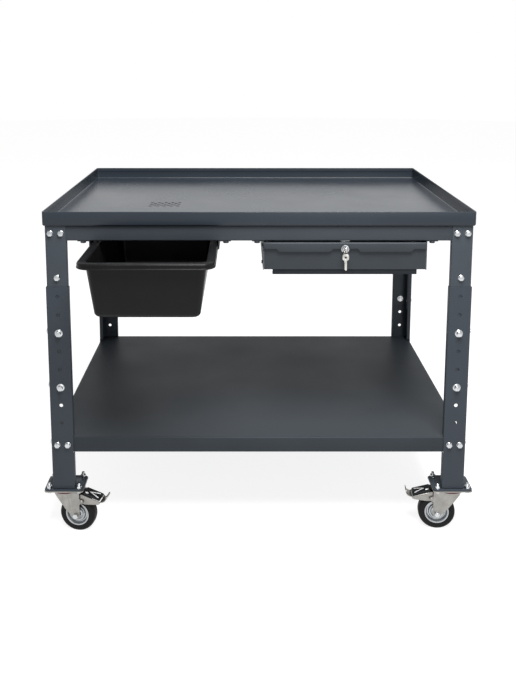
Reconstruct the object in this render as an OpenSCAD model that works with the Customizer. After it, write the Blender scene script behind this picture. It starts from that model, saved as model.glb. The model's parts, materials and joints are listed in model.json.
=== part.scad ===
// Mobile workbench: a rimmed steel tray on four telescopic corner posts with a shelf,
// a pull-out catch tub under the tray's drain, a lockable drawer and four swivel casters.
// Millimetres, +Z up, the front faces -Y. The bench is drawn about its own centre and
// moved by front_shift, so that the origin lies under the middle of the whole model.

/* [Tray] */
// Width of the tray over its rims
bench_w = 1120; // [1010:10:1600]
// Depth of the tray over its rims
bench_d = 800; // [700:10:1000]
// Height of the tray from its underside to the rim's top
tray_h = 38; // [30:1:60]
// Thickness of the tray's sheet
tray_sheet = 2; // [1.5:0.5:3]
// Height of the hem folded inwards at the rim's top
hem_h = 12; // [6:1:18]
// Radius of the tray's upright corners
tray_corner_r = 9; // [4:1:20]

/* [Drain] */
// Diameter of one drain hole
drain_d = 10; // [6:1:12]
// Distance between holes in a row
drain_pitch = 20; // [16:1:26]
// Distance between rows
drain_row = 14; // [12:1:20]
// Holes in the longer rows
drain_count = 5; // [3:1:7]
// Rows of holes
drain_rows = 5; // [3:1:7]
// Distance of the drain's middle from the tray's left rim; it keeps its place over the tub
drain_from_left = 290; // [250:1:330]
// Distance of the drain's middle from the tray's front rim
drain_from_front = 297; // [250:1:350]

/* [Apron beams] */
// Height of the apron beams
apron_h = 40; // [34:1:60]
// Depth of the beams' flanges
apron_flange = 25; // [20:1:32]
// Sheet of the posts, sleeves, beams and shelf
frame_sheet = 2; // [1.5:0.5:3]

/* [Corner posts] */
// Distance of the posts' outer faces inside the tray's rims
post_inset = 6; // [4:1:15]
// Width of a post's front wall
post_face = 55; // [50:1:70]
// Depth of a post's side wall
post_side = 45; // [42:1:60]
// Width of the front wall's folded lip
face_lip = 15; // [10:1:20]
// Width of the side wall's folded lip
side_lip = 12; // [8:1:16]
// Clearance between a post and its sleeve
sleeve_gap = 0.5; // [0.3:0.1:1]
// Radius of the folded sheet's outer bends
bend_r = 3; // [2:0.5:4]

/* [Height adjustment] */
// Distance between adjusting holes
hole_pitch = 50; // [40:1:60]
// Diameter of the adjusting holes
hole_d = 10; // [9:0.5:12]
// Holes in a post: one for each clamping bolt, and a spare
post_holes = 3; // [3:1:4]
// Distance of a post's first hole below its top
post_hole_top = 138.5; // [130:0.5:150]
// Length of a post below its last hole
post_end = 24.5; // [15:0.5:30]
// Holes in a sleeve
sleeve_holes = 8; // [8:1:9]
// Height of a sleeve's lowest hole above its foot
sleeve_hole_low = 188.5; // [180:0.5:200]
// Length of a sleeve above its highest hole
sleeve_end = 25.5; // [15:0.5:30]
// Sleeve hole that takes the post's last hole, counted from the bottom
height_step = 2; // [1:1:4]
// Sleeve holes from one hole of a post to the next
bolt_steps = 3; // [2:1:3]
// Distance of the side walls' holes behind the sleeves' front faces
side_bolt_back = 22; // [20:0.5:25]

/* [Shelf] */
// Height of the shelf's skirt
shelf_h = 42; // [36:1:60]
// Height of the shelf's bolts above the foot plates
shelf_bolt_up = 126; // [110:1:150]
// Width of the flange folded in under the shelf's skirt
shelf_return = 14; // [8:1:20]
// Clearance between the shelf and the sleeves
shelf_gap = 0.3; // [0.2:0.1:1]
// Depth of the notch over and under the shelf in the sleeves' lips
notch_gap = 4; // [3:0.5:8]
// Distance between two bolts side by side
bolt_pair = 28; // [26:1:30]

/* [Foot plates] */
// Width of a foot plate
foot_w = 105; // [100:1:120]
// Depth of a foot plate
foot_d = 80; // [80:1:100]
// Thickness of a foot plate
foot_t = 4; // [4:0.5:8]
// Reach of a foot plate past the sleeve's front wall
foot_front = 8; // [6:1:18]
// Cut of a foot plate's corners
foot_cut = 8; // [3:1:10]
// Caster bolt spacing across the bench
caster_bolt_x = 80; // [80:1:84]
// Caster bolt spacing along the bench
caster_bolt_y = 60; // [58:1:64]

/* [Casters] */
// Diameter of a wheel
wheel_d = 100; // [96:1:104]
// Width of a tyre
tyre_w = 30; // [26:1:32]
// Diameter of a wheel's rim inside the tyre
rim_d = 61; // [60:1:70]
// Height of a tyre's rounded shoulders
tyre_shoulder = 6; // [4:0.5:8]
// Width of a tyre's flat tread
tread_w = 14; // [12:1:18]
// Height of a caster from the floor to its plate's top
caster_h = 127; // [124:1:132]
// Thickness of a caster's plate
caster_plate_t = 3; // [2.5:0.5:4]
// Height of the ball race between a caster's plate and its fork
race_h = 6; // [5:0.5:7]
// Distance of the wheel's axle behind the swivel axis
caster_trail = 34; // [30:1:38]
// Sheet of the forks
fork_sheet = 2.5; // [2:0.5:3]
// Gap between the forks' legs
fork_gap = 42; // [40:0.5:44]
// Diameter of the fork's round crown
crown_d = 70; // [54:1:72]
// Turn of the front left caster
yaw_front_left = -11; // [-20:1:20]
// Turn of the front right caster
yaw_front_right = 174; // [150:1:200]
// Turn of the rear left caster
yaw_rear_left = 8; // [-10:1:12]
// Turn of the rear right caster
yaw_rear_right = 174; // [170:1:190]

/* [Brake levers] */
// Distance of the lever's pivot behind the swivel axis
lever_x = 50; // [48:1:52]
// Height of the lever's pivot
lever_z = 92; // [90:1:94]
// Diameter of the lever's rivets
rivet_d = 6; // [5:0.5:7]
// Sheet of the lever
lever_sheet = 2; // [1.5:0.5:2.5]
// Length of the lever's arms past their pivot
lever_l = 54; // [52:1:56]
// Radius of the tongue's curl over its back
tongue_r = 16; // [14:1:28]

/* [Catch tub] */
// Width of the tub over its rim
tub_w = 332; // [300:1:350]
// Length of the tub over its rim
tub_l = 551; // [450:1:600]
// Height of the tub
tub_h = 145; // [100:1:200]
// Overhang of the rim past the body
tub_rim = 19; // [17:1:24]
// Height of the rolled rim
tub_rim_h = 15; // [10:1:20]
// Taper of each wall from top to bottom
tub_taper = 20; // [10:1:30]
// Wall of the tub
tub_wall = 3; // [2.5:0.5:4]
// Radius of the rim's corners
tub_corner_r = 26; // [22:1:40]
// Distance of the tub's middle from the tray's left rim; the gaps beside and between the
// tub's rails and the drawer's hangers share any change of the bench's width
tub_from_left = 288; // [280:1:300]
// Gap between the tub's right rail and the drawer's left hanger
middle_gap = 55.3; // [50:0.1:120]
// Gap between the apron and the tub's rim
tub_top_gap = 6; // [3:0.5:10]
// Distance by which the tub is pulled out in front of the tray
tub_pulled = 204; // [0:1:250]

/* [Tub rails] */
// Width of the rail's lip under the tub's rim
rail_lip = 14; // [10:1:16]
// Width of the rail's bolted flange
rail_flange = 32; // [28:1:40]
// Clearance beside the tub's rim
rail_side_gap = 1; // [0.5:0.1:2]
// Clearance under the tub's rim
rail_seat_gap = 0.3; // [0.2:0.1:0.5]

/* [Drawer] */
// Width of the drawer's front panel
drawer_w = 421; // [360:1:440]
// Height of the drawer's front panel
drawer_h = 73; // [70:1:90]
// Length of the drawer's box and slides
drawer_l = 500; // [400:10:600]
// Distance of the drawer's middle from the tray's right rim, shared out as the tub's is
drawer_from_right = 336.5; // [330:0.5:345]
// Gap between the apron and the front panel
drawer_top_gap = 3.2; // [2:0.1:6]
// Sheet of the drawer
drawer_sheet = 1.5; // [1:0.5:2]
// Height of the drawer's box
box_h = 44; // [36:1:48]
// Depth of the grip lip in front of the panel
grip_d = 8; // [7:0.5:12]
// Height of the grip lip where it is low
grip_low = 24; // [20:1:28]
// Height of the grip lip where it is high
grip_high = 16; // [12:1:18]
// Width of the brace channels under the drawer's box
brace_w = 376; // [300:1:380]
// Height of the brace channels
brace_h = 13.5; // [8:0.5:16]

/* [Drawer slides] */
// Height of the slides
slide_h = 45; // [40:1:48]
// Thickness of the slides
slide_t = 13; // [12:0.5:15]
// Sheet of the slides
slide_sheet = 1.2; // [1:0.1:1.5]
// Clearance between the slides' members
slide_gap = 0.3; // [0.2:0.1:0.5]

/* [Drawer hangers] */
// Height of the hangers' side plates
hanger_h = 78; // [74:1:90]
// Width of the hangers' bolted flange
hanger_flange = 30; // [26:1:36]
// Distance of the hangers' bolts outside their side plates
hanger_bolt_out = 15; // [12:1:18]

/* [Lock and keys] */
// Diameter of the lock's barrel
lock_d = 18; // [16:0.5:19]
// Distance of the lock's axis below the front panel's top
lock_down = 17.8; // [16:0.1:20]
// Length of the lock's barrel behind the front panel
barrel_l = 16; // [14:0.5:18]
// Length of the lock's cam from its axis
cam_l = 20; // [18:0.5:20.5]
// Diameter of a key's head
key_head_d = 18; // [16:0.5:18.5]
// Thickness of a key
key_t = 2; // [1.5:0.1:2.2]
// Diameter of the hole in a key's head
key_hole_d = 6; // [5.8:0.1:6.6]
// Length of a key's blade past its head
key_blade = 26; // [20:0.5:27]
// Diameter of the key ring over the middle of its wire
ring_d = 16; // [16:0.5:17]
// Diameter of the key ring's wire
ring_wire = 1.4; // [1:0.1:1.4]

/* [Fasteners] */
// Diameter of the bolts
bolt_d = 8; // [6:0.5:8]
// Diameter of a bolt's flange
bolt_flange_d = 16; // [14:0.5:17]
// Height of a bolt's head with its flange
bolt_head_h = 6; // [5:0.5:8]
// Width across the flats of heads and nuts
hex_af = 13; // [11:0.5:13]
// Height of a nut
nut_h = 6.5; // [5:0.5:7]
// Height of the caster bolts' plain heads
caster_head_h = 4.6; // [4:0.1:4.8]
// Length of the caster bolts above the foot plates
caster_stud = 15; // [12:0.5:18]
// Thickness of the washers
washer_t = 1.6; // [1:0.1:2]
// Diameter of the clamping bolts' washers
clamp_d = 21; // [18:0.5:24]
// Height of the clamping bolts' heads
clamp_h = 10; // [8:0.5:12]

/* [Hidden] */
$fn = 48;

// Colours as the photograph shows them
anthracite = [0.29, 0.30, 0.33];
zinc = [0.74, 0.75, 0.76];
tub_black = [0.13, 0.13, 0.13];
rubber_black = [0.09, 0.09, 0.10];
seal_red = [0.55, 0.20, 0.18];

// Left and front corner, from which the others are mirrored
LEFT = -1;
RIGHT = 1;
FRONT = -1;
BACK = 1;

// Post and sleeve sizes
sleeve_step = frame_sheet + sleeve_gap;
sleeve_face = post_face + sleeve_step + frame_sheet + sleeve_gap;
sleeve_side = post_side + 2 * sleeve_step;
post_x = bench_w / 2 - post_inset;
post_y = bench_d / 2 - post_inset;
sleeve_x = post_x + sleeve_step;
sleeve_y = post_y + sleeve_step;
face_mid = sleeve_face / 2;

// Heights, from the floor up
foot_z = caster_h;
foot_top = foot_z + foot_t;
sleeve_len = sleeve_hole_low + (sleeve_holes - 1) * hole_pitch + sleeve_end;
low_hole_z = foot_top + sleeve_hole_low;
last_hole_z = low_hole_z + height_step * hole_pitch;
post_pitch = bolt_steps * hole_pitch;
post_len = post_hole_top + (post_holes - 1) * post_pitch + post_end;
post_foot_z = last_hole_z - post_end;
tray_z = post_foot_z + post_len;
bench_h = tray_z + tray_h;
apron_z = tray_z - apron_h;
shelf_bolt_z = foot_top + shelf_bolt_up;
shelf_z = shelf_bolt_z - shelf_h / 2;
shelf_top = shelf_z + shelf_h;

// Aprons
apron_out_x = post_x - frame_sheet;
apron_out_y = post_y - frame_sheet;
apron_end_gap = 1;
side_bolt_y = 30;

// Foot plates and casters
foot_x = sleeve_x - face_mid;
foot_y = sleeve_y + foot_front - foot_d / 2;
bolt_play = 1;
swivel_clear = 0.05;
seat_clear = 0.3;
plate_bottom = caster_h - caster_plate_t;
crown_top = plate_bottom - race_h;
crown_bottom = crown_top - fork_sheet;
king_d = 12;
king_head_d = 20;
king_head_t = 2.7;
race_d = 48;
seal_out_d = crown_d - 1;
seal_in_d = 49;
wheel_z = wheel_d / 2;
axle_d = 8;
hub_half = 18.5;
fork_out = fork_gap / 2 + fork_sheet;

// The origin lies under the middle between the tub's front and the back's furthest piece
front_reach = bench_d / 2 + tub_pulled;
back_reach = sleeve_y + max(foot_front, clamp_h);
front_shift = (front_reach - back_reach) / 2;

// Tub
tub_top = apron_z - tub_top_gap;
tub_mid_y = -bench_d / 2 - tub_pulled + tub_l / 2;
tub_bottom_round = 12;
rail_in = tub_w / 2 + rail_side_gap;
rail_half = rail_in + rail_flange;
rail_drop = tub_top_gap + tub_rim_h + rail_seat_gap + frame_sheet;
rail_l = 2 * (apron_out_y - frame_sheet);
rail_bolt_out = 20;
rail_stop_w = 10;
rail_stop_h = 12;
stop_y = -bench_d / 2 + tub_l + 0.5;

// Drawer
panel_top = apron_z - drawer_top_gap;
panel_y = -bench_d / 2 + grip_d;
box_y = panel_y + drawer_sheet;
box_z = panel_top - drawer_h;
hanger_in = drawer_w / 2 + 0.7;
hanger_half = hanger_in + hanger_flange;
box_half = hanger_in - slide_t - 1.2;
slide_z = box_z + 4 + slide_h / 2;
slide_y = box_y + 0.5;
lock_z = panel_top - lock_down;
collar_t = 3;
cam_y = panel_y + barrel_l + 4.5;
cam_t = 2;
plug_d = 13;
keyway_w = 2.4;
keyway_h = 8;
plug_front = collar_t + 1;
head_gap = 2;
key_y = panel_y - plug_front - head_gap - key_head_d / 2;
key_in = 14;
ring_play = 0.6;
ring_twist = 45;
ring_in = ring_d / 2 - ring_wire / 2;
ring_z = lock_z - key_hole_d / 2 + ring_play - ring_in;
spare_z = ring_z - ring_in + ring_play - key_hole_d / 2;

// The rails and the hangers stand side by side between the posts
post_in_x = post_x - post_face;
left_gap = tub_from_left - post_inset - post_face - rail_half;
right_gap = drawer_from_right - post_inset - post_face - hanger_half;
free_w = 2 * (post_in_x - rail_half - hanger_half);
gap_share = free_w / (left_gap + middle_gap + right_gap);
tub_x = -post_in_x + left_gap * gap_share + rail_half;
drawer_x = post_in_x - right_gap * gap_share - hanger_half;

// Everything is drawn about the bench's own centre and moved to the origin here
module place() {
  translate([0, front_shift, 0]) children();
}

// A corner's own coordinates start at the front left post's outer corner
module corner(side, end) {
  mirror([side == RIGHT ? 1 : 0, 0, 0])
    mirror([0, end == BACK ? 1 : 0, 0])
      children();
}

// Points of a quarter bend about a centre
function bend(cx, cy, r, from) =
  [for (i = [0:4]) [cx + r * cos(from + i * 22.5), cy + r * sin(from + i * 22.5)]];

// Folded post section: front wall, side wall and a lip on each
module post_section(face, side, lip_a, lip_b, t) {
  polygon(concat(
    bend(bend_r, bend_r, bend_r, 180),
    bend(face - bend_r, bend_r, bend_r, 270),
    [[face, lip_a], [face - t, lip_a], [face - t, t], [t, t], [t, side - t],
     [lip_b, side - t], [lip_b, side]],
    bend(bend_r, side - bend_r, bend_r, 90)
  ));
}

module rounded_rect(w, d, r) {
  square([w - 2 * r, d], center = true);
  square([w, d - 2 * r], center = true);
  for (x = [-1, 1], y = [-1, 1])
    translate([x * (w / 2 - r), y * (d / 2 - r)]) circle(r);
}

// Cylinder through a wall that faces the front, its middle at the origin
module hole_y(d, l) {
  rotate([90, 0, 0]) cylinder(d = d, h = l, center = true);
}

module hole_x(d, l) {
  rotate([0, 90, 0]) cylinder(d = d, h = l, center = true);
}

module hex(af, h) {
  cylinder(d = af / cos(30), h = h, $fn = 6);
}

// Bolt along +Z: the head's seat at the origin, the nut's seat grip below it
module bolt(grip, head_d, head_h) {
  cylinder(d = head_d, h = washer_t);
  translate([0, 0, washer_t]) hex(hex_af, head_h - washer_t);
  translate([0, 0, -grip - nut_h - 1]) cylinder(d = bolt_d, h = grip + nut_h + 1);
  translate([0, 0, -grip - nut_h]) hex(hex_af, nut_h);
}

module bolt_front(grip, head_d, head_h) {
  rotate([90, 0, 0]) bolt(grip, head_d, head_h);
}

module bolt_left(grip, head_d, head_h) {
  rotate([0, -90, 0]) bolt(grip, head_d, head_h);
}

// Tray: a folded pan with an inward hem and the drain's staggered holes
module tray() {
  drain_x = tub_x + drain_from_left - tub_from_left;
  drain_y = -bench_d / 2 + drain_from_front;
  inner_r = tray_corner_r - tray_sheet;
  color(anthracite) place() difference() {
    translate([0, 0, tray_z]) linear_extrude(tray_h)
      rounded_rect(bench_w, bench_d, tray_corner_r);
    translate([0, 0, tray_z + tray_sheet]) linear_extrude(tray_h - tray_sheet - hem_h)
      rounded_rect(bench_w - 2 * tray_sheet, bench_d - 2 * tray_sheet, inner_r);
    translate([0, 0, bench_h - hem_h - 1]) linear_extrude(hem_h + 2)
      rounded_rect(bench_w - 4 * tray_sheet, bench_d - 4 * tray_sheet,
        inner_r - tray_sheet);
    for (row = [0:drain_rows - 1]) {
      count = drain_count - row % 2;
      for (i = [0:count - 1])
        translate([drain_x + (i - (count - 1) / 2) * drain_pitch,
            drain_y + (row - (drain_rows - 1) / 2) * drain_row, tray_z - 1])
          cylinder(d = drain_d, h = tray_sheet + 2);
    }
  }
}

// Channel beam with its web at y = 0 and its flanges towards +Y
module channel(web_l, flange_l) {
  translate([-web_l / 2, 0, 0]) cube([web_l, frame_sheet, apron_h]);
  for (z = [0, apron_h - frame_sheet])
    translate([-flange_l / 2, 0, z]) cube([flange_l, apron_flange, frame_sheet]);
}

// Hole positions shared by the beams, the posts and their bolts
module frame_bolt_holes() {
  for (side = [LEFT, RIGHT], end = [FRONT, BACK]) corner(side, end) {
    for (i = [-1, 1])
      translate([-foot_x + i * bolt_pair / 2, -post_y, apron_z + apron_h / 2])
        hole_y(bolt_d + bolt_play, 4 * post_inset);
    translate([-post_x, -post_y + side_bolt_y, apron_z + apron_h / 2])
      hole_x(bolt_d + bolt_play, 4 * post_inset);
  }
}

// Holes in the aprons' lower flanges for the rails' and hangers' bolts
module underframe_holes() {
  for (x = underframe_x(), y = [-1, 1])
    translate([x, y * underframe_y, apron_z - 5])
      cylinder(d = bolt_d + bolt_play, h = 12);
}

function underframe_x() = [
  tub_x - tub_w / 2 - rail_bolt_out, tub_x + tub_w / 2 + rail_bolt_out,
  drawer_x - hanger_in - frame_sheet - hanger_bolt_out,
  drawer_x + hanger_in + frame_sheet + hanger_bolt_out
];
underframe_y = apron_out_y - apron_flange / 2 - 1;

module apron_long(end) {
  color(anthracite) place() difference() {
    mirror([0, end == BACK ? 1 : 0, 0]) translate([0, -apron_out_y, apron_z])
      channel(2 * apron_out_x, 2 * (apron_out_x - frame_sheet - apron_end_gap));
    frame_bolt_holes();
    underframe_holes();
  }
}

module apron_short(side) {
  color(anthracite) place() difference() {
    mirror([side == RIGHT ? 1 : 0, 0, 0])
      translate([-apron_out_x, 0, apron_z]) rotate([0, 0, -90])
        channel(2 * (apron_out_y - frame_sheet - apron_end_gap / 2),
          2 * (apron_out_y - apron_flange - apron_end_gap));
    frame_bolt_holes();
  }
}

// Upper post: rows of holes in both walls and lips cut away behind the aprons
module post(side, end) {
  color(anthracite) place() corner(side, end) difference() {
    translate([-post_x, -post_y, post_foot_z]) linear_extrude(post_len)
      post_section(post_face, post_side, face_lip, side_lip, frame_sheet);
    for (i = [0:post_holes - 1]) {
      z = last_hole_z + i * post_pitch;
      translate([-foot_x, -post_y, z]) hole_y(hole_d, 4 * frame_sheet);
      translate([-post_x, -sleeve_y + side_bolt_back, z]) hole_x(hole_d, 4 * frame_sheet);
    }
    translate([-apron_out_x, -apron_out_y, apron_z - apron_end_gap])
      cube([post_face, post_side, apron_h + 2 * apron_end_gap]);
    for (i = [-1, 1])
      translate([-foot_x + i * bolt_pair / 2, -post_y, apron_z + apron_h / 2])
        hole_y(bolt_d + bolt_play, 4 * frame_sheet);
    translate([-post_x, -post_y + side_bolt_y, apron_z + apron_h / 2])
      hole_x(bolt_d + bolt_play, 4 * frame_sheet);
  }
}

// Lower sleeve: takes the post, stands on the foot plate and holds the shelf's corner
module sleeve(side, end) {
  color(anthracite) place() corner(side, end) difference() {
    translate([-sleeve_x, -sleeve_y, foot_top]) linear_extrude(sleeve_len)
      post_section(sleeve_face, sleeve_side, face_lip, side_lip, frame_sheet);
    for (i = [0:sleeve_holes - 1]) {
      z = low_hole_z + i * hole_pitch;
      translate([-foot_x, -sleeve_y, z]) hole_y(hole_d, 4 * frame_sheet);
      translate([-sleeve_x, -sleeve_y + side_bolt_back, z]) hole_x(hole_d, 4 * frame_sheet);
    }
    translate([-sleeve_x + frame_sheet, -sleeve_y + frame_sheet, shelf_z - notch_gap])
      cube([sleeve_face, sleeve_side, shelf_h + 2 * notch_gap]);
    shelf_bolt_holes();
  }
}

module shelf_bolt_holes() {
  for (i = [-1, 1])
    translate([-foot_x + i * bolt_pair / 2, -sleeve_y, shelf_bolt_z])
      hole_y(bolt_d + bolt_play, 4 * bolt_d);
  translate([-sleeve_x, -sleeve_y + side_bolt_back, shelf_bolt_z])
    hole_x(bolt_d + bolt_play, 4 * bolt_d);
}

module shelf() {
  w = 2 * (sleeve_x - frame_sheet - shelf_gap);
  d = 2 * (sleeve_y - frame_sheet - shelf_gap);
  color(anthracite) place() difference() {
    translate([0, 0, shelf_z]) linear_extrude(shelf_h) rounded_rect(w, d, bend_r);
    translate([0, 0, shelf_z + frame_sheet])
      linear_extrude(shelf_h - 2 * frame_sheet)
        square([w - 2 * frame_sheet, d - 2 * frame_sheet], center = true);
    translate([0, 0, shelf_z - 1]) linear_extrude(frame_sheet + 2)
      square([w - 2 * shelf_return, d - 2 * shelf_return], center = true);
    for (side = [LEFT, RIGHT], end = [FRONT, BACK]) corner(side, end) shelf_bolt_holes();
  }
}

// Plate outline with cut corners and the caster's four holes
module caster_outline(cut) {
  difference() {
    polygon([
      [-foot_w / 2 + cut, -foot_d / 2], [foot_w / 2 - cut, -foot_d / 2],
      [foot_w / 2, -foot_d / 2 + cut], [foot_w / 2, foot_d / 2 - cut],
      [foot_w / 2 - cut, foot_d / 2], [-foot_w / 2 + cut, foot_d / 2],
      [-foot_w / 2, foot_d / 2 - cut], [-foot_w / 2, -foot_d / 2 + cut]
    ]);
    for (x = [-1, 1], y = [-1, 1])
      translate([x * caster_bolt_x / 2, y * caster_bolt_y / 2])
        circle(d = bolt_d + bolt_play);
  }
}

module at_feet() {
  for (side = [LEFT, RIGHT], end = [FRONT, BACK])
    translate([side * foot_x, end * foot_y, 0]) children();
}

module foot_plates() {
  color(anthracite) place() at_feet()
    translate([0, 0, foot_z]) linear_extrude(foot_t) caster_outline(foot_cut);
}

// Caster plate with its ball race and king pin, on which the fork turns
module caster_plates() {
  color(zinc) place() at_feet() {
    translate([0, 0, plate_bottom]) linear_extrude(caster_plate_t)
      caster_outline(foot_cut / 2);
    translate([0, 0, crown_top + seat_clear])
      cylinder(d = race_d, h = plate_bottom - crown_top - seat_clear);
    translate([0, 0, crown_bottom - seat_clear]) cylinder(d = king_d, h = 8);
    translate([0, 0, crown_bottom - seat_clear - king_head_t])
      cylinder(d = king_head_d, h = king_head_t);
  }
}

module caster_seals() {
  color(seal_red) place() at_feet()
    translate([0, 0, crown_top + seat_clear]) difference() {
      cylinder(d = seal_out_d, h = plate_bottom - crown_top - seat_clear);
      translate([0, 0, -1]) cylinder(d = seal_in_d, h = plate_bottom - crown_top + 2);
    }
}

// A caster's own coordinates: swivel axis at the origin, wheel towards +X
module caster(side, end, yaw) {
  translate([side * foot_x, end * foot_y, 0]) rotate([0, 0, yaw]) children();
}

module front_left() {
  place() caster(LEFT, FRONT, yaw_front_left) children();
}

module front_right() {
  place() caster(RIGHT, FRONT, yaw_front_right) children();
}

module back_left() {
  place() caster(LEFT, BACK, yaw_rear_left) children();
}

module back_right() {
  place() caster(RIGHT, BACK, yaw_rear_right) children();
}

module fork_leg(ear) {
  back = caster_trail + 11;
  difference() {
    rotate([90, 0, 0]) linear_extrude(fork_sheet) union() {
      polygon([
        [-25, crown_top], [-25, crown_top - 9], [-20, crown_top - 17],
        [-8, crown_top - 34], [caster_trail - 26, wheel_z + 14],
        [caster_trail - 11, wheel_z - 3], [back, wheel_z], [back, crown_top]
      ]);
      translate([caster_trail, wheel_z]) circle(11);
      if (ear) hull() {
        translate([lever_x, lever_z]) circle(6, $fn = 24);
        translate([back - 6, lever_z]) circle(10, $fn = 24);
      }
    }
    translate([caster_trail, -fork_sheet / 2, wheel_z])
      hole_y(axle_d + 2 * swivel_clear, 2 * fork_sheet);
  }
}

module fork(ear) {
  color(zinc) {
    difference() {
      union() {
        translate([0, 0, crown_bottom]) cylinder(d = crown_d, h = fork_sheet);
        translate([-25, -fork_out, crown_bottom])
          cube([caster_trail + 36, 2 * fork_out, fork_sheet]);
      }
      translate([0, 0, crown_bottom - 1])
        cylinder(d = king_d + 2 * swivel_clear, h = fork_sheet + 2);
    }
    for (i = [0, 1]) mirror([0, i, 0]) {
      translate([0, -fork_gap / 2, 0]) fork_leg(ear);
      if (ear) {
        translate([lever_x, -fork_out - 1.5, lever_z]) rotate([-90, 0, 0]) {
          cylinder(d = rivet_d, h = fork_sheet + 1.5 + fork_gap / 2 - lever_in());
          cylinder(d = rivet_d + 4, h = 1.5);
        }
      }
    }
  }
}

function lever_in() = fork_gap / 2 - 1.4 - lever_sheet;

// Level of the lever's sloping top at a distance behind the swivel axis
function lever_top(x) = lever_z + 19.2 - 0.31 * (x - lever_x);

module tyre() {
  bead = 2.2;
  half = tyre_w / 2;
  r = wheel_d / 2;
  color(rubber_black) translate([caster_trail, 0, wheel_z]) rotate([90, 0, 0])
    rotate_extrude($fn = 96) polygon([
      [rim_d / 2, -half + bead], [rim_d / 2 + 3, -half + bead], [rim_d / 2 + 5, -half + 0.8],
      [r - tyre_shoulder, -half], [r - tyre_shoulder / 2, -half + 1],
      [r - tyre_shoulder / 6, -half + 4], [r, -tread_w / 2],
      [r, tread_w / 2], [r - tyre_shoulder / 6, half - 4],
      [r - tyre_shoulder / 2, half - 1], [r - tyre_shoulder, half],
      [rim_d / 2 + 5, half - 0.8], [rim_d / 2 + 3, half - bead], [rim_d / 2, half - bead]
    ]);
}

// Half of the pressed rim's section, from the hub's end out to the rolled edge
function rim_half(sign) = [
  [axle_d / 2 + swivel_clear, sign * hub_half], [9, sign * hub_half],
  [10, sign * 11], [17, sign * 9], [19, sign * 11], [22, sign * 11], [24.5, sign * 8.5],
  [rim_d / 2 - 4, sign * 8.5], [rim_d / 2 - 2, sign * (tyre_w / 2 - 2)],
  [rim_d / 2 - 1, sign * (tyre_w / 2 - 0.8)], [rim_d / 2 + 2.5, sign * (tyre_w / 2 - 0.8)],
  [rim_d / 2 + 2.5, sign * (tyre_w / 2 - 2)], [rim_d / 2, sign * (tyre_w / 2 - 2)]
];

function flipped(list) = [for (i = [len(list) - 1:-1:0]) list[i]];

module rim() {
  color(zinc) translate([caster_trail, 0, wheel_z]) rotate([90, 0, 0])
    rotate_extrude($fn = 96) polygon(concat(rim_half(-1), flipped(rim_half(1))));
}

// Axle bolt with its nut and the two spacers between hub and fork
module axle() {
  spacer = fork_gap / 2 - hub_half - seat_clear;
  color(zinc) translate([caster_trail, 0, wheel_z]) rotate([90, 0, 0]) {
    translate([0, 0, -fork_out - nut_h - 1.5])
      cylinder(d = axle_d, h = 2 * fork_out + nut_h + 1.5);
    translate([0, 0, fork_out]) hex(hex_af, 5.5);
    translate([0, 0, -fork_out - nut_h]) hex(hex_af, nut_h);
    for (i = [0, 1]) mirror([0, 0, i])
      translate([0, 0, hub_half + seat_clear]) cylinder(d = 15, h = spacer);
  }
}

// Brake lever: two arms on the fork's rivets, a bridge over them, the shoe above the
// tyre and the up-curved tongue that the foot lifts
module brake_lever() {
  tongue_x = lever_x + lever_l;
  tongue_z = lever_z + tongue_r;
  arm_end = lever_x + lever_l;
  tongue_arc = [for (a = [-100:10.5:5])
    [tongue_x + tongue_r * cos(a), tongue_z + tongue_r * sin(a)]];
  tongue_in = [for (a = [5:-10.5:-100])
    [tongue_x + (tongue_r - lever_sheet) * cos(a),
     tongue_z + (tongue_r - lever_sheet) * sin(a)]];
  width = 2 * lever_in();
  color(zinc) {
    for (i = [0, 1]) mirror([0, i, 0]) difference() {
      translate([0, -lever_in(), 0]) rotate([90, 0, 0]) linear_extrude(lever_sheet)
        polygon([
          [lever_x - 7, lever_z - 6], [lever_x - 7, lever_z + 6],
          [lever_x - 3, lever_top(lever_x - 3)], [arm_end - 3, lever_top(arm_end - 3)],
          [arm_end, lever_z - 1], [arm_end - 7, lever_z - 5],
          [arm_end - 18, lever_z - 6], [lever_x + 10, lever_z - 8]
        ]);
      translate([lever_x, -lever_in() - lever_sheet / 2, lever_z])
        hole_y(rivet_d + 2 * swivel_clear, 3 * lever_sheet);
    }
    translate([0, width / 2, 0]) rotate([90, 0, 0]) linear_extrude(width)
      polygon([
        [lever_x + 3, lever_top(lever_x + 3)], [arm_end - 3, lever_top(arm_end - 3)],
        [arm_end - 3, lever_top(arm_end - 3) - lever_sheet],
        [lever_x + 3, lever_top(lever_x + 3) - lever_sheet]
      ]);
    translate([0, width / 2, 0]) rotate([90, 0, 0]) linear_extrude(width)
      polygon([
        [lever_x + 16, lever_top(lever_x + 16) - 1], [lever_x + 16, lever_z + 5],
        [lever_x + 18, lever_z + 3.5], [lever_x + 26, lever_z - 3.5],
        [lever_x + 29, lever_z - 3], [lever_x + 32, lever_top(lever_x + 32) - 1]
      ]);
    translate([0, width / 2 - 1, 0]) rotate([90, 0, 0]) linear_extrude(width - 2)
      polygon(concat([
        [arm_end - 10, lever_top(arm_end - 10) - 0.2],
        [arm_end - 10, lever_top(arm_end - 10) - lever_sheet - 0.2]
      ], tongue_arc, tongue_in));
  }
}

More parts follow.
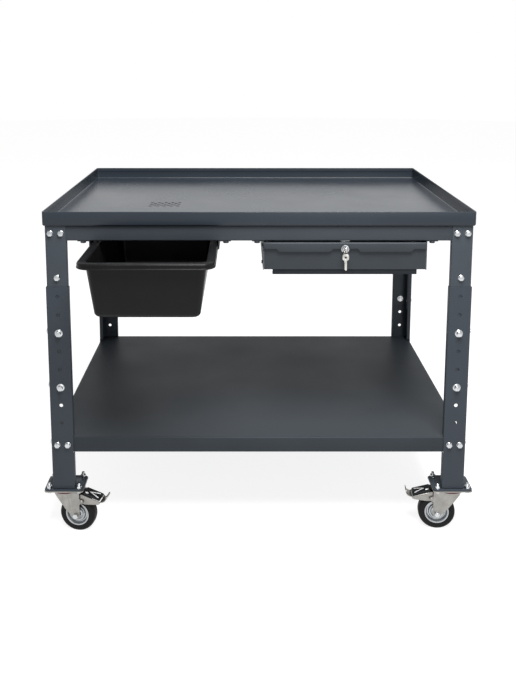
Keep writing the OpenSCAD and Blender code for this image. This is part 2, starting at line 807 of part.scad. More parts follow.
// Moulded cover on the lever's bridge
module pedal_cover() {
  width = 2 * lever_in() - 1;
  cover_t = 5;
  cover_end = lever_x + lever_l - 3.5;
  color(rubber_black)
    translate([0, width / 2, 0]) rotate([90, 0, 0]) linear_extrude(width)
      polygon([
        [lever_x + 3, lever_top(lever_x + 3)], [lever_x + 3, lever_top(lever_x + 3) + 3.5],
        [lever_x + 6, lever_top(lever_x + 6) + cover_t],
        [cover_end - 1.5, lever_top(cover_end - 1.5) + cover_t],
        [cover_end, lever_top(cover_end) + cover_t - 1.5],
        [cover_end, lever_top(cover_end)]
      ]);
}

// Tub: tapered moulding with rounded bottom edges and a rolled rim
module tub_level(inset, z, t) {
  r = max(tub_corner_r - tub_rim - inset / 3, 4) + 8;
  translate([0, 0, z]) linear_extrude(t)
    rounded_rect(tub_w - 2 * tub_rim - 2 * inset, tub_l - 2 * tub_rim - 2 * inset, r);
}

module tub_form(grow, floor_z, top_z) {
  slope = tub_taper / tub_h;
  hull() {
    tub_level(-grow, top_z - 0.1, 0.1);
    for (a = [0:22.5:90])
      tub_level(-grow + slope * (tub_h - tub_bottom_round)
        + tub_bottom_round * (1 - cos(a)),
        floor_z + tub_bottom_round * (1 - sin(a)), 0.1);
  }
}

module tub() {
  edge = 4;
  color(tub_black) place() translate([tub_x, tub_mid_y, tub_top - tub_h]) {
    difference() {
      tub_form(0, 0, tub_h - 0.5);
      tub_form(-tub_wall, tub_wall, tub_h + 1);
    }
    difference() {
      translate([0, 0, tub_h - tub_wall]) linear_extrude(tub_wall)
        rounded_rect(tub_w, tub_l, tub_corner_r);
      translate([0, 0, tub_h - tub_wall - 1]) linear_extrude(tub_wall + 2)
        rounded_rect(tub_w - 2 * tub_rim - 2 * tub_wall, tub_l - 2 * tub_rim - 2 * tub_wall,
          tub_corner_r - tub_rim + 5);
    }
    difference() {
      translate([0, 0, tub_h - tub_rim_h]) linear_extrude(tub_rim_h - 0.5)
        rounded_rect(tub_w, tub_l, tub_corner_r);
      translate([0, 0, tub_h - tub_rim_h - 1]) linear_extrude(tub_rim_h + 2)
        rounded_rect(tub_w - 2 * edge, tub_l - 2 * edge, tub_corner_r - edge);
    }
  }
}

// Tub rail: a flange bolted under the aprons, a web, a lip under the tub's rim and a
// tab that stops the tub when its rim is flush with the tray's front
module tub_rail(side) {
  color(anthracite) place() difference() {
    translate([tub_x, 0, apron_z]) mirror([side == LEFT ? 1 : 0, 0, 0]) {
      translate([rail_in, -rail_l / 2, -rail_drop]) cube([frame_sheet, rail_l, rail_drop]);
      translate([rail_in, -rail_l / 2, -frame_sheet]) cube([rail_flange, rail_l, frame_sheet]);
      translate([rail_in + frame_sheet - rail_lip, -rail_l / 2, -rail_drop])
        cube([rail_lip, rail_l, frame_sheet]);
      translate([rail_in - rail_stop_w, stop_y, -rail_drop])
        cube([rail_stop_w + frame_sheet, frame_sheet, rail_stop_h]);
    }
    underframe_holes();
  }
}

// Hanger: a bolted flange along the whole depth, a deep plate where the slide is
module drawer_hanger(side) {
  hanger_rib = 28;
  color(anthracite) place() difference() {
    translate([drawer_x, 0, apron_z]) mirror([side == LEFT ? 1 : 0, 0, 0]) difference() {
      union() {
        translate([hanger_in, -rail_l / 2, -hanger_h])
          cube([frame_sheet, drawer_l + 20, hanger_h]);
        translate([hanger_in, -rail_l / 2, -hanger_rib]) cube([frame_sheet, rail_l, hanger_rib]);
        translate([hanger_in, -rail_l / 2, -frame_sheet])
          cube([hanger_flange, rail_l, frame_sheet]);
      }
      for (y = slide_bolt_y(), z = slide_bolt_z())
        translate([hanger_in, y, z - apron_z]) hole_x(slide_bolt_d, 4 * frame_sheet);
    }
    underframe_holes();
  }
}

slide_bolt_d = 5;
function slide_bolt_y() = [slide_y + 22, slide_y + drawer_l - 40];
function slide_bolt_z() = [slide_z - 12, slide_z + slide_h / 2 + 11];

// Bolts of the frame: two through each front or back wall, one through each side wall
module frame_bolts() {
  grip = 2 * frame_sheet;
  color(zinc) place()
    for (side = [LEFT, RIGHT], end = [FRONT, BACK]) corner(side, end) {
      for (i = [-1, 1])
        translate([-foot_x + i * bolt_pair / 2, -post_y, apron_z + apron_h / 2])
          bolt_front(grip, bolt_flange_d, bolt_head_h);
      translate([-post_x, -post_y + side_bolt_y, apron_z + apron_h / 2])
        bolt_left(grip, bolt_flange_d, bolt_head_h);
      translate([-foot_x, -post_y, last_hole_z + (post_holes - 1) * post_pitch])
        bolt_front(frame_sheet, bolt_flange_d, bolt_head_h);
    }
}

// Bolts that clamp each post in its sleeve
module clamp_bolts() {
  grip = frame_sheet + sleeve_step;
  color(zinc) place()
    for (side = [LEFT, RIGHT], end = [FRONT, BACK]) corner(side, end)
      for (i = [0, 1]) {
        z = last_hole_z + i * post_pitch;
        translate([-foot_x, -sleeve_y, z]) bolt_front(grip, clamp_d, clamp_h);
        translate([-sleeve_x, -sleeve_y + side_bolt_back, z])
          bolt_left(grip, bolt_flange_d, bolt_head_h);
      }
}

module shelf_bolts() {
  grip = 2 * frame_sheet + shelf_gap;
  color(zinc) place()
    for (side = [LEFT, RIGHT], end = [FRONT, BACK]) corner(side, end) {
      for (i = [-1, 1])
        translate([-foot_x + i * bolt_pair / 2, -sleeve_y, shelf_bolt_z])
          bolt_front(grip, bolt_flange_d, bolt_head_h);
      translate([-sleeve_x, -sleeve_y + side_bolt_back, shelf_bolt_z])
        bolt_left(grip, bolt_flange_d, bolt_head_h);
    }
}

// Caster bolts: heads under the zinc plate, washers and nuts on the foot plate
module caster_bolts() {
  grip = foot_t + caster_plate_t;
  color(zinc) place() at_feet()
    for (x = [-1, 1], y = [-1, 1])
      translate([x * caster_bolt_x / 2, y * caster_bolt_y / 2, plate_bottom]) {
        translate([0, 0, -caster_head_h]) hex(hex_af, caster_head_h);
        cylinder(d = bolt_d, h = grip + caster_stud);
        translate([0, 0, grip]) cylinder(d = bolt_flange_d, h = washer_t);
        translate([0, 0, grip + washer_t]) hex(hex_af, nut_h);
      }
}

// Bolts from below that hold the tub rails and drawer hangers to the aprons
module underframe_bolts() {
  color(zinc) place() {
    for (x = underframe_x(), y = [-1, 1])
      translate([x, y * underframe_y, apron_z - frame_sheet]) rotate([180, 0, 0])
        bolt(2 * frame_sheet, bolt_flange_d, bolt_head_h);
    for (side = [LEFT, RIGHT], y = slide_bolt_y()) {
      low = slide_bolt_z()[0];
      high = slide_bolt_z()[1];
      translate([drawer_x + side * (hanger_in + frame_sheet), y, low])
        rotate([0, side * 90, 0]) {
          cylinder(d = 9, h = 3.5);
          translate([0, 0, -frame_sheet]) cylinder(d = slide_bolt_d, h = frame_sheet + 2);
        }
      translate([drawer_x + side * (hanger_in + frame_sheet), y, high])
        rotate([0, side * 90, 0]) {
          cylinder(d = 9, h = 3.5);
          translate([0, 0, -frame_sheet - 5]) cylinder(d = slide_bolt_d, h = frame_sheet + 7);
          translate([0, 0, -frame_sheet - 4]) hex(8, 4);
        }
    }
  }
}

// Drawer box, open at the top
module drawer_box() {
  color(anthracite) place() translate([drawer_x, box_y, box_z]) difference() {
    translate([-box_half, 0, 0]) cube([2 * box_half, drawer_l, box_h]);
    translate([-box_half + drawer_sheet, drawer_sheet, drawer_sheet])
      cube([2 * (box_half - drawer_sheet), drawer_l - 2 * drawer_sheet, box_h]);
  }
}

// Brace channels across the box's underside, open at the back
module drawer_braces() {
  depth = 24;
  color(anthracite) place() translate([drawer_x, box_y, box_z - brace_h])
    for (y = [1, drawer_l - depth - 40]) translate([-brace_w / 2, y, 0]) {
      cube([brace_w, drawer_sheet, brace_h]);
      cube([brace_w, depth, drawer_sheet]);
      translate([0, 0, brace_h - drawer_sheet]) cube([brace_w, depth, drawer_sheet]);
    }
}

// Lower edge of the grip lip: high at both ends and round the lock, low between them
function grip_edge(w) = [
  [-w, -grip_high], [-w + 32, -grip_high], [-w + 40, -grip_low], [-40, -grip_low],
  [-32, -grip_high], [32, -grip_high], [40, -grip_low], [w - 40, -grip_low],
  [w - 32, -grip_high], [w, -grip_high]
];

module drawer_front() {
  half = drawer_w / 2;
  color(anthracite) place() translate([drawer_x, panel_y, panel_top]) difference() {
    union() {
      translate([-half, 0, -drawer_h]) cube([drawer_w, drawer_sheet, drawer_h]);
      translate([-half, -grip_d, -drawer_sheet])
        cube([drawer_w, grip_d + drawer_sheet, drawer_sheet]);
      translate([0, -grip_d + drawer_sheet, 0]) rotate([90, 0, 0])
        linear_extrude(drawer_sheet)
          polygon(concat([[-half, 0]], grip_edge(half), [[half, 0]]));
    }
    translate([0, drawer_sheet / 2, -lock_down]) hole_y(lock_d, 3 * drawer_sheet);
    translate([0, -grip_d, -lock_down]) hole_y(lock_d + 6, grip_d);
  }
}

// Slide member: a channel with its web on the hanger's side
module slide_member(offset, height, depth) {
  translate([offset, 0, -height / 2]) cube([slide_sheet, drawer_l, height]);
  for (z = [-height / 2, height / 2 - slide_sheet])
    translate([offset, 0, z]) cube([depth, drawer_l, slide_sheet]);
}

module at_slides() {
  for (side = [LEFT, RIGHT])
    translate([drawer_x, slide_y, slide_z])
      mirror([side == RIGHT ? 1 : 0, 0, 0]) translate([-hanger_in, 0, 0]) children();
}

module slides_outer() {
  color(zinc) place() at_slides() slide_member(0, slide_h, slide_t - 1.5);
}

module slides_middle() {
  color(zinc) place() at_slides()
    slide_member(slide_sheet + 2.4, slide_h - 2 * (slide_sheet + slide_gap), slide_t - 5.5);
}

// The inner members are screwed to the box and open towards the hangers
module slides_inner() {
  height = slide_h - 4 * (slide_sheet + slide_gap);
  seat = hanger_in - box_half;
  color(zinc) place() at_slides() translate([seat, 0, 0]) mirror([1, 0, 0])
    slide_member(0, height, 7);
}

// Lock: the barrel sits in the front panel with its collar outside and its nut inside
module lock_barrel() {
  color(zinc) place() translate([drawer_x, panel_y, lock_z]) difference() {
    union() {
      translate([0, -collar_t, 0]) rotate([-90, 0, 0]) cylinder(d = lock_d + 3, h = collar_t);
      rotate([-90, 0, 0]) cylinder(d = lock_d, h = barrel_l);
      translate([0, drawer_sheet, 0]) rotate([-90, 0, 0]) cylinder(d = 24, h = 3, $fn = 6);
    }
    hole_y(plug_d + 2 * swivel_clear, 4 * barrel_l);
  }
}

module lock_plug() {
  front = plug_front;
  color(zinc) place() translate([drawer_x, panel_y, lock_z]) difference() {
    union() {
      translate([0, -front, 0]) rotate([-90, 0, 0])
        cylinder(d = plug_d, h = front + cam_y - panel_y);
      translate([0, cam_y - panel_y + cam_t, 0]) rotate([-90, 0, 0])
        cylinder(d = 9, h = 2.5);
      translate([0, cam_y - panel_y, 0]) rotate([-90, 0, 0]) cylinder(d = 7, h = cam_t);
    }
    translate([-keyway_w / 2, -front - 1, -keyway_h / 2])
      cube([keyway_w, key_in + 1.5, keyway_h]);
  }
}

// Cam in the open position, towards +X; a quarter turn brings it up behind the keeper
module lock_cam() {
  color(zinc) place() translate([drawer_x, cam_y, lock_z]) difference() {
    union() {
      rotate([-90, 0, 0]) cylinder(d = 14, h = cam_t);
      translate([0, 0, -4.5]) cube([cam_l, cam_t, 9]);
    }
    hole_y(7, 4 * cam_t);
  }
}

module lock_keeper() {
  t = 1.5;
  y = cam_y - 1 - t;
  color(zinc) place() translate([drawer_x, 0, 0]) {
    translate([-12, -apron_out_y + frame_sheet, apron_z - t])
      cube([24, y + t + apron_out_y - frame_sheet, t]);
    translate([-12, y, apron_z - 12]) cube([24, t, 12]);
  }
}

// A key: round head with a hole, the blade along +X from the head's middle
module key_shape(blade) {
  difference() {
    union() {
      cylinder(d = key_head_d, h = key_t, center = true);
      translate([0, -keyway_h / 2 + 0.3, -key_t / 2])
        cube([blade + key_head_d / 2, keyway_h - 0.6, key_t]);
    }
    cylinder(d = key_hole_d, h = 2 * key_t, center = true);
  }
}

// The key in the lock stands on edge; its blade reaches into the plug
module key() {
  color(zinc) place() translate([drawer_x, key_y, lock_z])
    rotate([0, 0, 90]) rotate([90, 0, 0]) key_shape(head_gap + key_in);
}

// The ring hangs in the key's hole, turned between the two keys
module key_ring() {
  color(zinc) place() translate([drawer_x, key_y, ring_z])
    rotate([0, 0, ring_twist]) rotate([90, 0, 0])
      rotate_extrude() translate([ring_d / 2, 0]) circle(d = ring_wire, $fn = 24);
}

// The spare key hangs from the ring with its blade down and its face to the front
module spare_key() {
  color(zinc) place() translate([drawer_x, key_y, spare_z])
    rotate([90, 0, 0]) rotate([0, 0, -90]) key_shape(key_blade);
}

tray();
apron_long(FRONT);  // apron_front
apron_long(BACK);  // apron_back
apron_short(LEFT);  // apron_left
apron_short(RIGHT);  // apron_right
post(LEFT, FRONT);  // post_front_left
post(RIGHT, FRONT);  // post_front_right
post(LEFT, BACK);  // post_back_left
post(RIGHT, BACK);  // post_back_right
sleeve(LEFT, FRONT);  // sleeve_front_left
sleeve(RIGHT, FRONT);  // sleeve_front_right
sleeve(LEFT, BACK);  // sleeve_back_left
sleeve(RIGHT, BACK);  // sleeve_back_right
foot_plates();
shelf();
frame_bolts();
clamp_bolts();
shelf_bolts();
caster_bolts();
caster_plates();
caster_seals();
front_left() fork(true);  // fork_front_left
front_right() fork(true);  // fork_front_right
back_left() fork(false);  // fork_back_left
back_right() fork(false);  // fork_back_right
front_left() rim();  // rim_front_left
front_right() rim();  // rim_front_right
back_left() rim();  // rim_back_left
back_right() rim();  // rim_back_right
front_left() tyre();  // tyre_front_left
front_right() tyre();  // tyre_front_right
back_left() tyre();  // tyre_back_left
back_right() tyre();  // tyre_back_right
front_left() axle();  // axle_front_left
front_right() axle();  // axle_front_right
back_left() axle();  // axle_back_left
back_right() axle();  // axle_back_right
front_left() brake_lever();  // brake_lever_left
front_right() brake_lever();  // brake_lever_right
front_left() pedal_cover();  // pedal_cover_left
front_right() pedal_cover();  // pedal_cover_right
tub();
tub_rail(LEFT);  // tub_rail_left
tub_rail(RIGHT);  // tub_rail_right
underframe_bolts();
drawer_box();
drawer_front();
drawer_braces();
drawer_hanger(LEFT);  // drawer_hanger_left
drawer_hanger(RIGHT);  // drawer_hanger_right
slides_outer();
slides_middle();
slides_inner();
lock_barrel();
lock_plug();
lock_cam();
lock_keeper();
key();
key_ring();
spare_key();
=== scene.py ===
"""A mobile steel workbench with a drain tray, a tub, a drawer and four casters, dressed for rendering."""

from __future__ import annotations

import json
import logging
import math
from dataclasses import dataclass
from enum import Enum
from typing import Callable, Iterable, Sequence

import bmesh
import bpy
from mathutils import Matrix, Vector

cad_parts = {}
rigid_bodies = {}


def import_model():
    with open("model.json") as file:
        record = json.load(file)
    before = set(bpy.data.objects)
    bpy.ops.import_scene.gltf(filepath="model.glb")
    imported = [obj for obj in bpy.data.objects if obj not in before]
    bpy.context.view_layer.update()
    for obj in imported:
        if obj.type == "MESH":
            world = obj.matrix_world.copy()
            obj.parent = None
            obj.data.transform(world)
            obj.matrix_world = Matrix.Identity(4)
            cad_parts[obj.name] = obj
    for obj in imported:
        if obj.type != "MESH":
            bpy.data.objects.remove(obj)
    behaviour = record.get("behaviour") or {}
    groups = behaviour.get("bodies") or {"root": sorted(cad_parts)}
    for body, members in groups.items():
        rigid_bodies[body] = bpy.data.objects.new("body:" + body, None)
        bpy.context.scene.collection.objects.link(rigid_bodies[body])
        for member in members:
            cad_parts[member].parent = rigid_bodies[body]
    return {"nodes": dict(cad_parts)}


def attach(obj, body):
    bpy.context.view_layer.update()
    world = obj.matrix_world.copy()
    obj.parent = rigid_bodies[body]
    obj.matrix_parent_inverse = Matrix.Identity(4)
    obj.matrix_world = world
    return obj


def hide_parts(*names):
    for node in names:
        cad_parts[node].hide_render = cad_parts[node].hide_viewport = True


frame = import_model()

log = logging.getLogger("workbench")
Point2 = tuple[float, float]
Point3 = tuple[float, float, float]
Place = Callable[[float, float, float], Point3]

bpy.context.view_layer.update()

# Sizes shared by all the sub-assemblies, in millimetres about the bench's own middle, which lies
# FRONT_SHIFT behind the frame's
FRONT_SHIFT = 98.75
BENCH_W = 1120.0
BENCH_D = 800.0
TRAY_Z = 858.0
TRAY_H = 38.0
SHEET = 2.0
HALF_SHEET = SHEET / 2
POST_X = 554.0
POST_Y = 394.0
SLEEVE_X = 556.5
SLEEVE_Y = 396.5
LEG_X = 526.5
FOOT_Y = 364.5
SIDE_HOLE_Y = 374.5
FOOT_TOP = 131.0
PLATE_BOTTOM = 124.0
LAST_HOLE_Z = 419.5
HOLE_PITCH = 50.0
POST_PITCH = 150.0
DRAWER_X = 223.5
PANEL_TOP = 814.8
PANEL_Y = -392.0
LOCK_Z = 797.0
KEY_Y = -407.0
TUB_X = -272.0
TUB_MID_Y = -328.5
TUB_TOP = 812.0

# Points of a shape closer than this, in millimetres, are one
WELD = 0.0005
# The same for a mesh that is already in metres
WELD_METRES = 1e-6
# Faces of a CAD mesh that lean less than this, in degrees, are one
FLAT_BELOW = 0.4
# Edges flatter than this, in degrees, are shaded smooth
SMOOTH_BELOW = 32.0


class End(Enum):
    """The bench's front or back, with its sign along Y."""

    FRONT = -1
    BACK = 1


class Side(Enum):
    """The bench's left or right, with its sign along X."""

    LEFT = -1
    RIGHT = 1


class Slot(Enum):
    """The record's material slots."""

    TRAY = "tray_paint"
    BEAM = "beam_paint"
    POST = "post_paint"
    SLEEVE = "sleeve_paint"
    SHELF = "shelf_paint"
    DRAWER = "drawer_paint"
    CASTER = "caster_zinc"
    BOLT = "bolt_zinc"
    RIM = "rim_zinc"
    SLIDE = "slide_zinc"
    TYRE = "tyre_rubber"
    PEDAL = "pedal_plastic"
    TUB = "tub_plastic"
    LOCK = "lock_chrome"
    KEY = "key_nickel"


def at(x: float, y: float, z: float) -> Vector:
    """Turns bench millimetres into the frame's metres."""
    return Vector((x, y + FRONT_SHIFT, z)) / 1000


def metres(*values: float) -> tuple[float, ...]:
    """Turns millimetres into metres without the bench's shift."""
    return tuple(v / 1000 for v in values)


def hex_colour(code: str) -> tuple[float, float, float, float]:
    """Turns an sRGB hex code into a linear colour.

    Args:
        code: Six hex digits after a hash.

    Returns:
        Linear red, green, blue and an alpha of 1.
    """
    parts = [int(code[i : i + 2], 16) / 255 for i in (1, 3, 5)]
    linear = [c / 12.92 if c <= 0.04045 else ((c + 0.055) / 1.055) ** 2.4 for c in parts]
    return (linear[0], linear[1], linear[2], 1.0)


def add(tree: bpy.types.NodeTree, kind: str, settings: dict | None = None,
        **inputs: object) -> bpy.types.Node:
    """Adds a node with its settings, its values and its links.

    Args:
        tree: The tree that the node goes into.
        kind: The node's Blender type.
        settings: Values for the node's own properties.
        **inputs: Inputs by name, underscores for spaces, or by number, as in i0. A socket is linked.

    Returns:
        The new node.
    """
    node = tree.nodes.new(kind)
    for key, value in (settings or {}).items():
        setattr(node, key, value)
    for key, value in inputs.items():
        numbered = key[0] == "i" and key[1:].isdigit()
        socket = node.inputs[int(key[1:]) if numbered else key.replace("_", " ")]
        if isinstance(value, bpy.types.NodeSocket):
            tree.links.new(value, socket)
        else:
            socket.default_value = value
    return node


@dataclass(frozen=True)
class Finish:
    """A finish with a colour that drifts a little, a fine relief and a gloss that varies.

    Attributes:
        name: The real material's name, which the Blender material gets.
        colour: The mean colour as an sRGB hex code.
        tint: The colour that broad patches drift towards.
        roughness: The lowest and highest roughness over the surface.
        patch_mm: Size of the patches of colour and gloss.
        grain_mm: Size of the relief's grains.
        relief_mm: Height of the relief.
        metallic: 1 for bare metal, 0 for paint and plastic.
        stretch: How much longer the grain is along X, for rolled or brushed metal.
        specular: Specular level of the surface.
    """

    name: str
    colour: str
    tint: str
    roughness: tuple[float, float]
    patch_mm: float
    grain_mm: float
    relief_mm: float
    metallic: float = 0.0
    stretch: float = 1.0
    specular: float = 0.5

    def material(self) -> bpy.types.Material:
        """Makes this finish's material, once.

        Returns:
            The material.
        """
        made = bpy.data.materials.get(self.name)
        if made:
            return made
        made = bpy.data.materials.new(self.name)
        made.use_nodes = True
        tree = made.node_tree
        tree.nodes.clear()
        place = add(tree, "ShaderNodeTexCoord").outputs["Object"]
        patches = add(
            tree, "ShaderNodeTexNoise", Vector=place, Scale=1000 / self.patch_mm, Detail=3.0, Roughness=0.55
        ).outputs["Fac"]
        # A noise's values gather about a half, so a narrow span there is spread out
        spread = add(tree, "ShaderNodeMapRange", Value=patches, i1=0.35, i2=0.65, i3=0.0, i4=1.0)
        colour = add(
            tree, "ShaderNodeMix", {"data_type": "RGBA"}, i0=spread.outputs[0],
            i6=hex_colour(self.colour), i7=hex_colour(self.tint),
        ).outputs[2]
        least, most = self.roughness
        gloss = add(tree, "ShaderNodeMapRange", Value=patches, i1=0.3, i2=0.7, i3=least, i4=most).outputs[0]
        along = add(tree, "ShaderNodeMapping", Vector=place, Scale=(1 / self.stretch, 1.0, 1.0)).outputs[0]
        grain = add(
            tree, "ShaderNodeTexNoise", Vector=along, Scale=1000 / self.grain_mm, Detail=2.0
        ).outputs["Fac"]
        bump = add(tree, "ShaderNodeBump", Height=grain, Strength=0.6, Distance=self.relief_mm / 1000)
        shader = add(
            tree, "ShaderNodeBsdfPrincipled", Base_Color=colour, Roughness=gloss, Normal=bump.outputs[0],
            Metallic=self.metallic, Specular_IOR_Level=self.specular,
        )
        add(tree, "ShaderNodeOutputMaterial", Surface=shader.outputs[0])
        return made


def powder_coat(part: str, colour: str, tint: str, roughness: tuple[float, float], patch_mm: float,
                grain_mm: float = 2.0, specular: float = 0.2) -> Finish:
    """Makes the powder coat of one part of the bench.

    Args:
        part: The part, for the finish's name.
        colour: The mean colour.
        tint: The colour that patches drift towards.
        roughness: The lowest and highest roughness.
        patch_mm: Size of the patches.
        grain_mm: Size of the orange peel, drawn coarse enough to show.
        specular: Specular level.

    Returns:
        The finish.
    """
    return Finish(
        f"powder_coated_steel_{part}", colour, tint, roughness, patch_mm, grain_mm, relief_mm=0.03,
        specular=specular,
    )


# Polyester powder coat on folded steel: a satin blue-grey with the fine orange peel of baked powder. It is
# one paint, but each part gets its own slightly lighter or darker tone as painted light and shade, since
# light falls on each part differently.
TRAY_COAT = powder_coat("tray", "#272D34", "#2B3138", (0.22, 0.29), 260, 2.2, 0.24)
BEAM_COAT = powder_coat("beam", "#353A40", "#393E44", (0.38, 0.48), 180)
POST_COAT = powder_coat("post", "#393F45", "#3D4349", (0.40, 0.50), 160)
SLEEVE_COAT = powder_coat("sleeve", "#333940", "#373D44", (0.40, 0.50), 160)
# The shelf's coat is painted darker than the posts' coat, as painted shade for the shade under the tray
SHELF_PAINTED_SHADE_COAT = powder_coat("shelf", "#2E3338", "#32373C", (0.44, 0.54), 220, 2.2, 0.14)
DRAWER_COAT = powder_coat("drawer", "#33383D", "#373C41", (0.40, 0.50), 140)
# The braces under the drawer get a much darker coat than its front, as painted shade for the shadow that the
# front panel casts on them
BRACE_PAINTED_SHADE_COAT = powder_coat("brace", "#1D2125", "#212529", (0.44, 0.54), 140, specular=0.14)
# Zinc plate on pressed steel: pale grey metal, a little cloudy from the passivating bath
PRESSED_ZINC = Finish(
    "zinc_plated_pressed_steel", "#93918D", "#85837F", (0.36, 0.46), 22, 0.9, 0.012, metallic=1.0, stretch=3.0
)
RIM_ZINC = Finish("zinc_plated_wheel_rim", "#A6A9AB", "#94979A", (0.26, 0.36), 18, 0.8, 0.01, metallic=1.0)
# Bright zinc on turned and cold-headed fasteners: smoother and lighter than the pressed sheet
BOLT_ZINC = Finish("bright_zinc_fasteners", "#BFC1C3", "#ABAEB0", (0.18, 0.30), 8, 0.6, 0.01, metallic=1.0)
# Zinc plate on rolled strip: an even grey with a grain along the strip
SLIDE_ZINC = Finish(
    "zinc_plated_rolled_slide", "#B4B6B7", "#A5A8AA", (0.30, 0.42), 40, 0.9, 0.01, metallic=1.0, stretch=4.0
)
# Black rubber tyre: matt, with the faint bloom that solid tyres get on their flanks
TYRE_RUBBER = Finish("black_rubber_tyre", "#0C0C0D", "#141415", (0.45, 0.60), 14, 0.8, 0.03, specular=0.15)
# Injection-moulded polypropylene: near black, fine grained, glossy where the mould was polished
TUB_PLASTIC = Finish(
    "moulded_polypropylene_tub", "#0B0B0C", "#101011", (0.26, 0.36), 90, 1.4, 0.02, specular=0.14
)
# Moulded nylon on the pedals: black with a dull sheen, and its raised grip ribs and stud drawn pale, near
# white
PEDAL_PLASTIC = Finish("moulded_nylon_pedal", "#15171A", "#1C1E21", (0.38, 0.52), 12, 0.7, 0.02, specular=0.2)
PEDAL_MARK = Finish("moulded_nylon_grip_rib", "#E4E4E2", "#D8D8D6", (0.40, 0.50), 10, 0.7, 0.01)
# Moulded acetal: the dull red ring that seals the swivel's balls
SEAL_PLASTIC = Finish("moulded_acetal_seal", "#8C4A50", "#7C3F46", (0.40, 0.52), 12, 0.7, 0.01)
# Zinc on the small bolts under the beams, painted dark grey as painted shade for the shade under the beams
PAINTED_SHADE_BOLT_ZINC = Finish(
    "blackened_steel_fasteners", "#4A4C50", "#3C3E42", (0.34, 0.46), 8, 0.6, 0.01, metallic=1.0
)
# Chrome and nickel plate over brass: nearly mirror-like, with soft marks of polishing
LOCK_CHROME = Finish("chrome_plated_brass", "#B4B6B8", "#A0A3A6", (0.10, 0.20), 6, 0.7, 0.004, metallic=1.0)
KEY_NICKEL = Finish(
    "nickel_plated_key", "#C4C3BF", "#B2B1AD", (0.22, 0.34), 7, 0.6, 0.008, metallic=1.0, stretch=3.0
)


def arc(x: float, y: float, radius: float, first: float, last: float, steps: int) -> list[Point2]:
    """Returns an arc's points about (x, y), with angles in degrees; a negative radius turns it round."""
    angles = (math.radians(first + (last - first) * k / steps) for k in range(steps + 1))
    return [(x + radius * math.cos(a), y + radius * math.sin(a)) for a in angles]


def ellipse(x: float, y: float, wide: float, tall: float, count: int) -> list[Point2]:
    """Returns the points of an ellipse about (x, y) with its two radii."""
    angles = (math.tau * k / count for k in range(count))
    return [(x + wide * math.cos(a), y + tall * math.sin(a)) for a in angles]


def rounded_rect(width: float, depth: float, radius: float, steps: int = 6) -> list[Point2]:
    """Draws a rectangle with round corners, counter-clockwise from its right side.

    Args:
        width: Its size along the first coordinate.
        depth: Its size along the second coordinate.
        radius: The corners' radius.
        steps: Straight pieces per corner.

    Returns:
        Its points.
    """
    points = []
    for corner, (sx, sy) in enumerate(((1, 1), (-1, 1), (-1, -1), (1, -1))):
        cx, cy = sx * (width / 2 - radius), sy * (depth / 2 - radius)
        points += arc(cx, cy, radius, corner * 90, corner * 90 + 90, steps)
    return points


def filleted(path: Sequence[Point2], radius: float | Sequence[float], closed: bool = False,
             steps: int = 5) -> list[Point2]:
    """Rounds a path's corners.

    Args:
        path: The path's points.
        radius: The wanted radius, or one for each point, made smaller where a stretch is too short.
        closed: Whether the path's ends join.
        steps: Straight pieces per corner.

    Returns:
        The points of the rounded path.
    """
    out: list[Point2] = []
    count = len(path)
    radii = [radius] * count if isinstance(radius, (int, float)) else list(radius)
    for i, here in enumerate(path):
        if not closed and i in (0, count - 1):
            out.append(here)
            continue
        p, a, b = Vector(here), Vector(path[i - 1]), Vector(path[(i + 1) % count])
        u, v = (a - p).normalized(), (b - p).normalized()
        half = math.acos(max(-1.0, min(1.0, u.dot(v)))) / 2
        if half > math.radians(88) or half < math.radians(3):
            out.append(here)
            continue
        reach = min(radii[i] / math.tan(half), 0.49 * (a - p).length, 0.49 * (b - p).length)
        real = reach * math.tan(half)
        centre = p + (u + v).normalized() * (real / math.sin(half))
        start, end = p + u * reach - centre, p + v * reach - centre
        sweep = start.angle_signed(end)
        for k in range(steps + 1):
            out.append(tuple(centre + Matrix.Rotation(-sweep * k / steps, 2) @ start))
    return out


def sheet_outline(path: Sequence[Point2], bend: float = 1.2) -> list[Point2]:
    """Gives a folded sheet's section from its middle line.

    Args:
        path: The middle line's corner points.
        bend: The bends' inner radius.

    Returns:
        The section's closed outline.
    """
    line = [Vector(p) for p in filleted(path, bend + SHEET / 2, steps=4)]
    left, right = [], []
    for i, p in enumerate(line):
        before, after = line[max(i - 1, 0)], line[min(i + 1, len(line) - 1)]
        if 0 < i < len(line) - 1:
            along = ((p - before).normalized() + (after - p).normalized()).normalized()
        else:
            along = (after - before).normalized()
        across = Vector((-along.y, along.x)) * (SHEET / 2)
        left.append(tuple(p + across))
        right.append(tuple(p - across))
    return left + right[::-1]


